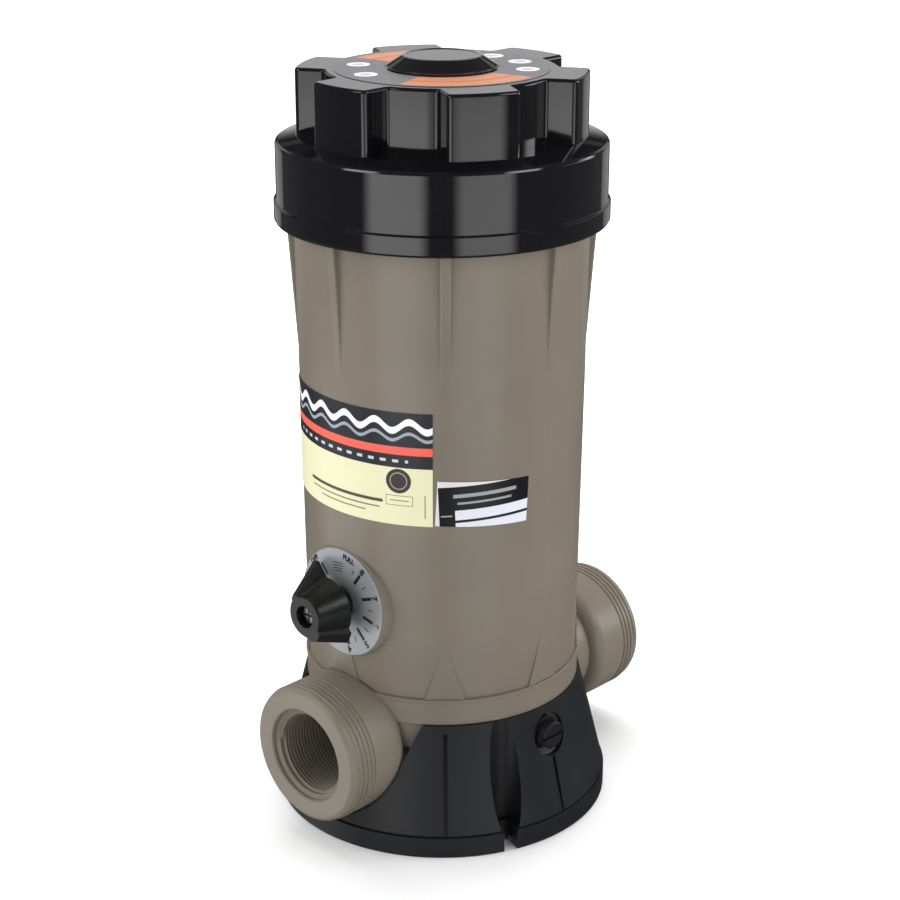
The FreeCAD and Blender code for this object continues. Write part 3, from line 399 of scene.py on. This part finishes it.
def make_front_label_print():
    material, tree, shader = vinyl("front_label_print")
    across, up = wrap(tree, 0, LABEL_RADIUS)
    cream = screen(222, 220, 182)
    white = screen(236, 238, 240)
    dark = screen(34, 37, 43)
    spot_ink = screen(52, 46, 44)
    faded = screen(128, 126, 104)
    colour = lay_over(tree, cream, dark, calc(tree, "GREATER_THAN", up, HEAD_LOW))
    layers = [
        (white, wave(tree, across, up, 245.4, 2.6, WAVE_LENGTH, 1.9)),
        (screen(150, 160, 172), wave(tree, across, up, 239.6, 2.0, WAVE_LENGTH, 0.9)),
        (screen(232, 96, 78), inside(tree, up, 229.5, 234.0)),
        (screen(196, 198, 202), dashes(tree, across, up, 7.0, 3.4, 225.2, 226.8, 42)),
        (spot_ink, disc(tree, across, up, SPOT_CENTRE, 6.9)),
        (screen(160, 152, 140), disc(tree, across, up, SPOT_CENTRE, 4.9)),
        (spot_ink, disc(tree, across, up, SPOT_CENTRE, 4.3)),
        (faded, field(tree, across, up, 29.4, 44.4, 200.9, 206.7)),
        (cream, field(tree, across, up, 29.8, 44.0, 201.3, 206.3)),
        (faded, field(tree, across, up, 31.6, 42.2, 203.5, 204.1)),
        (screen(74, 72, 62), field(tree, across, up, -27.6, 27.6, 201.8, 203.6)),
        (faded, field(tree, across, up, -25.7, 25.7, 198.6, 199.5)),
        (faded, field(tree, across, up, -17.0, 17.0, 195.6, 196.4)),
        (faded, field(tree, across, up, 50.6, 51.2, 194.5, 207.6)),
    ]
    feed(tree, shader.inputs["Base Color"], print_layers(tree, colour, layers))
    return material


front_label_print = make_front_label_print()

# %% [markdown]
# The small label was put on a little out of level. Its two measures are taken from its own middle
# and turned by the same angle, so that the border and the white fields lean with it.

# %% Rating label
RATING_AZIMUTH = 60.3
RATING_MIDDLE_Z = 202.0
RATING_LEAN = math.radians(2.6)
RATING_HALF_WIDTH = 25.7
RATING_HALF_HEIGHT = 12.6
RATING_BORDER = 1.3
RATING_BLEED = 2.0          # how far the print runs past the right and lower edge


def make_rating_label_print():
    material, tree, shader = vinyl("rating_label_print")
    across, height = wrap(tree, RATING_AZIMUTH, LABEL_RADIUS)
    rise = calc(tree, "SUBTRACT", height, RATING_MIDDLE_Z)
    cosine = math.cos(RATING_LEAN)
    sine = math.sin(RATING_LEAN)
    u = calc(tree, "ADD", calc(tree, "MULTIPLY", across, cosine),
             calc(tree, "MULTIPLY", rise, sine))
    v = calc(tree, "SUBTRACT", calc(tree, "MULTIPLY", rise, cosine),
             calc(tree, "MULTIPLY", across, sine))
    border = screen(212, 210, 212)
    black = screen(18, 19, 24)
    pale = screen(214, 218, 228)
    text = screen(150, 152, 156)
    left = -RATING_HALF_WIDTH + RATING_BORDER
    right = RATING_HALF_WIDTH + RATING_BLEED
    low = -RATING_HALF_HEIGHT - RATING_BLEED
    high = RATING_HALF_HEIGHT - RATING_BORDER
    colour = lay_over(tree, border, black, field(tree, u, v, left, right, low, high))
    layers = [
        (pale, field(tree, u, v, -15.9, right, -7.6, -2.1)),
        (pale, field(tree, u, v, -15.9, right, low, -9.1)),
        (text, field(tree, u, v, -16.5, 18.5, 5.0, 7.0)),
        (text, field(tree, u, v, -14.5, 15.5, 1.2, 2.4)),
        (text, field(tree, u, v, -23.4, -17.4, -5.4, -4.6)),
    ]
    feed(tree, shader.inputs["Base Color"], print_layers(tree, colour, layers))
    return material


rating_label_print = make_rating_label_print()

# %% [markdown]
# The ring label on the lid is a grey ring with two orange arcs and a few pale roundels. It is
# drawn on the distance from the lid's axis and on the angle round it.

# %% Lid label
LID_LABEL_INNER = 30.0
LID_LABEL_OUTER = 57.0
LID_ARC_AZIMUTHS = (61.0, 241.0)
LID_ARC_HALF_ANGLE = 40.0
LID_SPOT_AZIMUTHS = (303.0, 343.0, 126.0, 157.0, 187.0)
LID_SPOT_CIRCLE = 45.0
LID_SPOT_RADIUS = 6.2
LID_CORE_RADIUS = 0.55 * LID_SPOT_RADIUS
LID_BAND_EDGE = 2.0
LID_STRIPE = (42.6, 44.4)


def make_lid_label_print():
    material, tree, shader = vinyl("lid_label_print")
    x, y = (calc(tree, "DIVIDE", side, MM) for side in place_axes(tree)[:2])
    radius = from_axis(tree, x, y)
    band = inside(tree, radius, LID_LABEL_INNER + LID_BAND_EDGE, LID_LABEL_OUTER - LID_BAND_EDGE)
    stripe = inside(tree, radius, *LID_STRIPE)
    layers = []
    for azimuth in LID_ARC_AZIMUTHS:
        ahead_x = math.sin(math.radians(azimuth))
        ahead_y = -math.cos(math.radians(azimuth))
        along = calc(tree, "ADD", calc(tree, "MULTIPLY", x, ahead_x),
                     calc(tree, "MULTIPLY", y, ahead_y))
        share = calc(tree, "DIVIDE", along, radius)
        sweep = calc(tree, "GREATER_THAN", share, math.cos(math.radians(LID_ARC_HALF_ANGLE)))
        layers += [(screen(192, 126, 92), calc(tree, "MULTIPLY", band, sweep)),
                   (screen(172, 84, 62), calc(tree, "MULTIPLY", stripe, sweep))]
    for azimuth in LID_SPOT_AZIMUTHS:
        centre = (LID_SPOT_CIRCLE * math.sin(math.radians(azimuth)),
                  -LID_SPOT_CIRCLE * math.cos(math.radians(azimuth)))
        layers += [(screen(226, 226, 228), disc(tree, x, y, centre, LID_SPOT_RADIUS)),
                   (screen(176, 176, 178), disc(tree, x, y, centre, LID_CORE_RADIUS))]
    feed(tree, shader.inputs["Base Color"], print_layers(tree, screen(104, 104, 107), layers))
    return material


lid_label_print = make_lid_label_print()

# %% [markdown]
# ## Dress the CAD parts
#
# Each CAD part keeps its mesh and gets the finish of its slot in the record. The record already
# says which slot every node uses, so one loop dresses them all.

# %% Give each node its finish
FINISHES = {
    "body_grey": body_grey,
    "base_black": base_black,
    "lid_black": lid_black,
    "knob_black": knob_black,
    "seal_rubber": seal_rubber,
    "screw_steel": screw_steel,
    "dial_metal": dial_metal,
    "inner_plastic": inner_plastic,
    "front_label_print": front_label_print,
    "rating_label_print": rating_label_print,
    "lid_label_print": lid_label_print,
}
for subpart in frame["record"]["subparts"]:
    node = NODES[subpart["node"]]
    node.data.materials.clear()
    node.data.materials.append(FINISHES[subpart["material_slot"]])
    print(node.name, "is", subpart["material_slot"])

# %% [markdown]
# ## Screw threads
#
# A moulded thread is one ridge wound round a wall. It could be a stack of rings, but rings don't
# climb, and a nut wouldn't run on them. So one flat profile is shaped in edit mode and swept by a
# Screw modifier. Both ends of the ridge run out into the wall, as they leave a mould.

# %% Wind a ridge
RIDGE_STEPS = 72


def wind_ridge(name, wall, crest, foot, top, lead, turns):
    """Ridge wound round Z from height 0 up: foot and top are its widths at the wall and crest."""
    bpy.ops.object.select_all(action="DESELECT")
    bpy.ops.mesh.primitive_plane_add(size=1, rotation=(math.radians(90), 0, 0))
    ridge = bpy.context.object
    ridge.name = name
    apply_place(ridge)
    open_piece(ridge)
    pick(ridge, "VERT", lambda v: v.co.x > 0)
    bpy.ops.transform.resize(value=(1, 1, top / foot))
    bpy.ops.mesh.select_all(action="SELECT")
    bpy.ops.transform.resize(value=(crest - wall, 1, foot))
    bpy.ops.transform.translate(value=((crest + wall) / 2, 0, foot / 2))
    bpy.ops.mesh.delete(type="ONLY_FACE")
    close_piece()
    screw = ridge.modifiers.new("wind", "SCREW")
    screw.axis = "Z"
    screw.angle = 2 * math.pi * turns
    screw.screw_offset = lead * turns
    screw.steps = round(RIDGE_STEPS * turns)
    screw.render_steps = screw.steps
    bpy.ops.object.modifier_apply(modifier="wind")
    close_ends(ridge, wall, crest, foot)
    return ridge


def close_ends(ridge, wall, crest, foot):
    """Sinks both ends of a wound ridge to the wall, and closes them with a face each."""
    middle = (wall + crest) / 2
    top = max(v.co.z for v in ridge.data.vertices)
    half = top / 2
    open_piece(ridge)
    pick(ridge, "VERT", lambda v: v.is_boundary and abs(v.co.xy.length - crest) < abs(middle - crest))
    bpy.ops.transform.resize(value=(wall / crest, wall / crest, 1), center_override=(0, 0, 0))
    for above in (False, True):
        pick(ridge, "EDGE", lambda e: e.is_boundary and (e.verts[0].co.z > half) == above)
        bpy.ops.mesh.edge_face_add()
    bpy.ops.mesh.select_all(action="SELECT")
    bpy.ops.mesh.normals_make_consistent(inside=False)
    close_piece()


def point_along(ridge, start, direction):
    """Turns a ridge so that it climbs along a direction from a start point."""
    ridge.rotation_euler = Vector(direction).to_track_quat("Z", "Y").to_euler()
    ridge.location = start


# %% [markdown]
# The union nuts of the plumbing screw onto the two collars, and a pipe screws into each socket.
# The collar's coarse ridge stands on the turned-down zone that CAD left for it. The socket's fine
# ridge stands inwards from the plain hole.

# %% Threads of the ports
COLLAR_CREST = 39.35 * MM
COLLAR_PITCH = 3.05 * MM
COLLAR_FOOT = 2.2 * MM
COLLAR_TOP = 1.1 * MM
PIPE_CREST = 22.5 * MM
PIPE_PITCH = 2.2 * MM
PIPE_FOOT = 2.0 * MM
PIPE_TOP = 0.4 * MM
SINK = 0.15 * MM


def port_thread(name, mount_name, crest, pitch, foot, top):
    """Ridge along the wall of one mount, from its outer end inwards."""
    mount = MOUNTS[mount_name]
    wall = mount["dims"]["r_mm"] * MM
    wall += SINK if crest < wall else -SINK
    length = mount["dims"]["length_mm"] * MM
    outward = Vector(mount["axis"])
    ridge = wind_ridge(name, wall, crest, foot, top, pitch, (length - foot) / pitch)
    point_along(ridge, Vector(mount["pos_m"]) + outward * length / 2, -outward)
    finish_piece(ridge, "root", body_grey)


for side in ("inlet", "outlet"):
    port_thread(side + "_collar_thread", side + "_collar", COLLAR_CREST, COLLAR_PITCH,
                COLLAR_FOOT, COLLAR_TOP)
    port_thread(side + "_pipe_thread", side + "_socket", PIPE_CREST, PIPE_PITCH,
                PIPE_FOOT, PIPE_TOP)

# %% [markdown]
# The lid's joint rises 12 mm a turn, so its thread climbs 12 mm a turn too. The neck's ridge and
# the lid's ridge are half a turn's rise apart and can pass over each other all the way up.

# %% Threads of the neck and the lid
NECK_LEAD = 12 * MM
NECK_FOOT = 5.0 * MM
NECK_TOP = 2.8 * MM
NECK_CREST = 83.7 * MM
LID_THREAD_CREST = 82.4 * MM
NECK_TURNS = 2
LID_TURNS = 1.75
NECK_THREAD_DROP = 33 * MM    # from the top of the neck down to where its ridge starts
NECK_THREAD_LOW = NECK_TOP_Z - NECK_THREAD_DROP
neck_ridge = wind_ridge("neck_thread", NECK_RADIUS - SINK, NECK_CREST, NECK_FOOT, NECK_TOP,
                        NECK_LEAD, NECK_TURNS)
neck_ridge.location.z = NECK_THREAD_LOW
finish_piece(neck_ridge, "root", body_grey)
lid_ridge = wind_ridge("lid_thread", LID_BORE_RADIUS + SINK, LID_THREAD_CREST, NECK_FOOT, NECK_TOP,
                       NECK_LEAD, LID_TURNS)
lid_ridge.location.z = NECK_THREAD_LOW + NECK_LEAD / 2
finish_piece(lid_ridge, "lid", lid_black)

# %% [markdown]
# ## Figures on the dial
#
# The scale runs from OFF anticlockwise up to FULL. Its figures stand with their tops outwards, each
# with a thick mark that points at it, and thin marks lie between. Print has almost no
# thickness, but as a thin raised mesh it stays crisp in every view.

# %% Ink and letters
PRINT_THICKNESS = 0.08 * MM
DIAL_FIGURES = (("OFF", 312), ("1", 264), ("2", 232), ("3", 200), ("4", 168), ("5", 136),
                ("6", 103), ("7", 69), ("8", 36), ("FULL", 12))
FIGURE_CIRCLE = 27.0 * MM
OFF_CIRCLE = 28.4 * MM    # out past the tip of the knob's pointer
FIGURE_SIZE = 5.4 * MM
WORD_SIZE = 4.0 * MM
LETTER_WEIGHT = 0.22 * MM    # how far the outline of a letter is pushed out
dial_ink = plastic("dial_ink", screen(22, 23, 26), screen(28, 29, 32),
                   0.40, 0.50, 1.0 * MM, 0.002 * MM, 0.01 * MM)


def on_dial(piece, clock, radius):
    """Puts a flat piece on the dial at a clock angle in degrees, with its top outwards."""
    turn = math.radians(clock)
    piece.rotation_euler = (math.radians(90), turn, 0)
    piece.location = DIAL_CENTRE + Vector((radius * math.sin(turn), 0, radius * math.cos(turn)))
    apply_place(piece)


def dial_figure(text, clock):
    """One figure or word as a thin mesh."""
    bpy.ops.object.select_all(action="DESELECT")
    bpy.ops.object.text_add()
    figure = bpy.context.object
    figure.data.body = text
    figure.data.size = FIGURE_SIZE if len(text) == 1 else WORD_SIZE
    figure.data.align_x = "CENTER"
    figure.data.align_y = "CENTER"
    figure.data.extrude = PRINT_THICKNESS
    figure.data.offset = LETTER_WEIGHT
    bpy.ops.object.convert(target="MESH")
    figure = bpy.context.object
    on_dial(figure, clock, OFF_CIRCLE if text == "OFF" else FIGURE_CIRCLE)
    return figure


def join_pieces(pieces, name):
    """One object from several."""
    bpy.ops.object.select_all(action="DESELECT")
    for piece in pieces:
        piece.select_set(True)
    bpy.context.view_layer.objects.active = pieces[0]
    bpy.ops.object.join()
    pieces[0].name = name
    return pieces[0]


figures = join_pieces([dial_figure(text, clock) for text, clock in DIAL_FIGURES], "dial_figures")
finish_piece(figures, "root", dial_ink)

# %% [markdown]
# A mark is one short bar: a plane that is stretched, then extruded off the plate. The last word
# has four thin arcs under it in place of a thick bar, and each arc is a small section spun about
# the middle of the dial.

# %% Marks of the scale
ARC_STEPS = 8


def dial_mark(clock, inner, outer, width):
    """One bar of the scale between two radii."""
    bpy.ops.object.select_all(action="DESELECT")
    bpy.ops.mesh.primitive_plane_add(size=1)
    mark = bpy.context.object
    open_piece(mark)
    bpy.ops.mesh.select_all(action="SELECT")
    bpy.ops.transform.resize(value=(width, outer - inner, 1))
    bpy.ops.transform.translate(value=(0, 0, -PRINT_THICKNESS))
    bpy.ops.mesh.extrude_region_move(TRANSFORM_OT_translate={"value": (0, 0, 2 * PRINT_THICKNESS)})
    bpy.ops.mesh.select_all(action="SELECT")
    bpy.ops.mesh.normals_make_consistent(inside=False)
    close_piece()
    on_dial(mark, clock, (inner + outer) / 2)
    return mark


def dial_arc(first, last, radius, width):
    """One thin arc of the scale, clockwise from the first clock angle to the last."""
    bpy.ops.object.select_all(action="DESELECT")
    bpy.ops.mesh.primitive_plane_add(size=1, rotation=(0, math.radians(90), 0))
    arc = bpy.context.object
    apply_place(arc)
    open_piece(arc)
    bpy.ops.mesh.select_all(action="SELECT")
    bpy.ops.transform.resize(value=(1, width, 2 * PRINT_THICKNESS))
    bpy.ops.mesh.spin(steps=ARC_STEPS, angle=math.radians(first - last), center=(0, -radius, 0),
                      axis=(0, 0, 1))
    bpy.ops.mesh.select_all(action="SELECT")
    bpy.ops.mesh.normals_make_consistent(inside=False)
    close_piece()
    on_dial(arc, first, radius)
    return arc


def between(first, second):
    """Clock angle half-way, anticlockwise from the first to the second."""
    return (first - ((first - second) % 360) / 2) % 360


OFF_MARK_CLOCK = 320
THICK_BAR = (16.8 * MM, 24.4 * MM, 1.8 * MM)    # inner radius, outer radius and width
THIN_BAR = (20.0 * MM, 23.5 * MM, 0.5 * MM)
FULL_ARC_CLOCKS = (3, 24)
FULL_ARC_RADII = [radius * MM for radius in (17.9, 19.5, 21.1, 22.7)]
FULL_ARC_WIDTH = 0.45 * MM
clocks = [clock for _, clock in DIAL_FIGURES]
marks = [dial_mark(clock, *THICK_BAR) for clock in [OFF_MARK_CLOCK] + clocks[1:-1]]
marks += [dial_mark(between(clock, following), *THIN_BAR)
          for clock, following in zip(clocks[:-1], clocks[1:])]
marks += [dial_arc(*FULL_ARC_CLOCKS, radius, FULL_ARC_WIDTH) for radius in FULL_ARC_RADII]
scale_marks = join_pieces(marks, "dial_marks")
finish_piece(scale_marks, "root", dial_ink)

# %% [markdown]
# ## Floor and background
#
# The object stands on a plain pale floor. To the camera the floor is close to white, with the
# soft shadow of the object left in it: a diffuse floor that the lamps light, plus a little light
# of its own that only camera rays see. Gloss sees a dim room, as the real studio was.

# %% Floor and world
FLOOR_SIZE = 12
FLOOR_NEAR = 0.35           # the floor's own light grows from this radius to the next
FLOOR_FAR = 1.2
FLOOR_GLOW_NEAR = 0.12
FLOOR_GLOW_FAR = 1.0
BASE_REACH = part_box("base")[1].x    # under the base the floor has no light of its own
ROOM_LIGHT = 0.34
ROOM_GLOSS = 0.07


def ray_is(tree, kind):
    """Socket that is 1 for rays of a kind, such as Camera or Glossy."""
    return tree.nodes.new("ShaderNodeLightPath").outputs["Is " + kind + " Ray"]


def make_floor_material():
    material, tree, shader = new_material("floor_white")
    shader.inputs["Base Color"].default_value = screen(236, 236, 236)
    shader.inputs["Roughness"].default_value = 0.9
    shader.inputs["Specular IOR Level"].default_value = 0.0
    shader.inputs["Emission Color"].default_value = (1, 1, 1, 1)
    reach = from_axis(tree, *place_axes(tree)[:2])
    glow = tree.nodes.new("ShaderNodeMapRange")
    feed(tree, glow.inputs["Value"], reach)
    glow.inputs["From Min"].default_value = FLOOR_NEAR
    glow.inputs["From Max"].default_value = FLOOR_FAR
    glow.inputs["To Min"].default_value = FLOOR_GLOW_NEAR
    glow.inputs["To Max"].default_value = FLOOR_GLOW_FAR
    outside = calc(tree, "GREATER_THAN", reach, BASE_REACH)
    seen = calc(tree, "MULTIPLY", ray_is(tree, "Camera"), outside)
    strength = calc(tree, "MULTIPLY", seen, glow.outputs["Result"])
    feed(tree, shader.inputs["Emission Strength"], strength)
    return material


bpy.ops.object.select_all(action="DESELECT")
bpy.ops.mesh.primitive_plane_add(size=FLOOR_SIZE)
floor = bpy.context.object
floor.name = "floor"
floor.data.materials.append(make_floor_material())
floor.visible_glossy = False

world = bpy.data.worlds.new("studio")
bpy.context.scene.world = world
world.use_nodes = True
air = world.node_tree
sky = air.nodes["Background"]
room = calc(air, "MULTIPLY_ADD", ray_is(air, "Glossy"), ROOM_GLOSS - ROOM_LIGHT, ROOM_LIGHT)
feed(air, sky.inputs["Strength"], calc(air, "MAXIMUM", ray_is(air, "Camera"), room))
sky.inputs["Color"].default_value = (1, 1, 1, 1)

# %% [markdown]
# ## Lamps
#
# Soft boxes stand round the object and one hangs above it. A photographer's boxes have a bright
# middle and soft edges, and gloss shows that as windows with blurred borders. An area lamp is
# evenly bright with sharp edges, so the lamps light the object without being mirrored, and cards
# with faded edges stand in for them in the gloss.

# %% Soft boxes
CAMERA_AZIMUTH = 43.8
LAMP_DISTANCE = 1.7
LAMP_AIM = Vector((0, 0, 0.2))


def around(azimuth, distance, height):
    """Place at an azimuth counted from the camera's, a distance and a height."""
    turn = math.radians(CAMERA_AZIMUTH + azimuth)
    return Vector((distance * math.sin(turn), -distance * math.cos(turn), height))


def soft_box(name, azimuth, distance, height, width, tall, radiance):
    """Area lamp that faces the object, with its power set from its radiance."""
    place = around(azimuth, distance, height)
    bpy.ops.object.light_add(type="AREA", location=place)
    lamp = bpy.context.object
    lamp.name = name
    lamp.data.shape = "RECTANGLE"
    lamp.data.size = width
    lamp.data.size_y = tall
    lamp.data.energy = radiance * math.pi * width * tall
    lamp.visible_camera = False
    lamp.visible_glossy = False
    lamp.rotation_euler = (LAMP_AIM - place).to_track_quat("-Z", "Y").to_euler()


SOFT_BOXES = (
    # name, azimuth, distance, height, width, tall and radiance
    ("left_box", -45, LAMP_DISTANCE, 0.55, 1.35, 2.0, 1.7),
    ("right_box", 45, LAMP_DISTANCE, 0.55, 1.35, 2.0, 1.6),
    ("left_side_box", -88, LAMP_DISTANCE, 0.6, 1.0, 1.6, 3.2),
    ("right_side_box", 88, LAMP_DISTANCE, 0.6, 1.0, 1.6, 3.0),
    ("top_box", 180, 0.6, 1.6, 1.6, 1.6, 3.8),
    ("back_left_box", -140, 1.8, 0.6, 0.8, 1.8, 1.6),
    ("back_right_box", 140, 1.8, 0.6, 0.8, 1.8, 1.6),
)
for row in SOFT_BOXES:
    soft_box(*row)

# %% Cards that gloss sees
CARD_EDGE = 0.22


def faded(tree, value):
    """1 in the middle of a card's side and 0 at its ends, with a soft change between."""
    node = tree.nodes.new("ShaderNodeMapRange")
    node.interpolation_type = "SMOOTHSTEP"
    node.inputs["From Max"].default_value = CARD_EDGE
    feed(tree, node.inputs["Value"], calc(tree, "SUBTRACT", 0.5, calc(tree, "ABSOLUTE", value)))
    return node.outputs["Result"]


def soft_card(name, azimuth, distance, low, high, width, strength):
    """Upright card between two heights, bright in its middle, that only gloss sees."""
    facing = math.radians(CAMERA_AZIMUTH + azimuth)
    bpy.ops.mesh.primitive_plane_add(size=1, rotation=(math.radians(90), 0, facing),
                                     location=around(azimuth, distance, (low + high) / 2))
    card = bpy.context.object
    card.name = name
    card.scale = (width, high - low, 1)
    material, tree, shader = new_material(name)
    glow = calc(tree, "MULTIPLY", *(faded(tree, side) for side in place_axes(tree)[:2]))
    shader.inputs["Base Color"].default_value = (0, 0, 0, 1)
    shader.inputs["Specular IOR Level"].default_value = 0.0
    shader.inputs["Emission Color"].default_value = (1, 1, 1, 1)
    feed(tree, shader.inputs["Emission Strength"], calc(tree, "MULTIPLY", glow, strength))
    card.data.materials.append(material)
    card.visible_camera = False
    card.visible_diffuse = False
    card.visible_shadow = False


SOFT_CARDS = (
    # name, azimuth, distance, low, high, width and strength
    ("left_card", -31, LAMP_DISTANCE, -0.75, 0.28, 1.55, 1.5),
    ("right_card", 29, LAMP_DISTANCE, -0.75, 0.28, 1.50, 1.2),
    ("high_left_card", -60, LAMP_DISTANCE, 0.8, 1.7, 1.0, 3.0),
    ("high_right_card", 60, LAMP_DISTANCE, 0.8, 1.7, 1.0, 3.0),
    ("low_left_card", -88, 1.0, -0.75, -0.02, 1.1, 1.1),
    ("right_level_card", 105, 2.0, 0.1, 1.1, 1.6, 2.4),
    ("rear_card", 180, 2.3, -0.6, 2.4, 1.2, 0.5),
    ("rear_left_card", -150, 2.0, -0.6, 1.6, 1.0, 0.3),
    ("rear_right_card", 150, 2.0, -0.6, 1.6, 1.0, 0.3),
)
for row in SOFT_CARDS:
    soft_card(*row)

# %% [markdown]
# ## Camera
#
# The camera stands where the photographer's did. Its place and lens follow from how the round
# parts turn into ellipses, and a small shift puts the tank's axis a little left of the middle.

# %% Place the camera
CAMERA_DISTANCE = 1.1555
CAMERA_ELEVATION = math.radians(20.2)
CAMERA_AIM = Vector((0, 0, 0.20456))
CAMERA_LENS = 82.61
CAMERA_SHIFT = 0.0087
away = around(0, math.cos(CAMERA_ELEVATION), math.sin(CAMERA_ELEVATION))
bpy.ops.object.camera_add(location=CAMERA_AIM + away * CAMERA_DISTANCE)
camera = bpy.context.object
camera.name = "camera"
camera.rotation_euler = (-away).to_track_quat("-Z", "Y").to_euler()
camera.data.sensor_width = 36
camera.data.lens = CAMERA_LENS
camera.data.shift_x = CAMERA_SHIFT
bpy.context.scene.camera = camera
bpy.context.scene.view_settings.view_transform = "Standard"

# %% [markdown]
# ## Finish
#
# Last, the selection is cleared.

# %% Finish
bpy.ops.object.select_all(action="DESELECT")
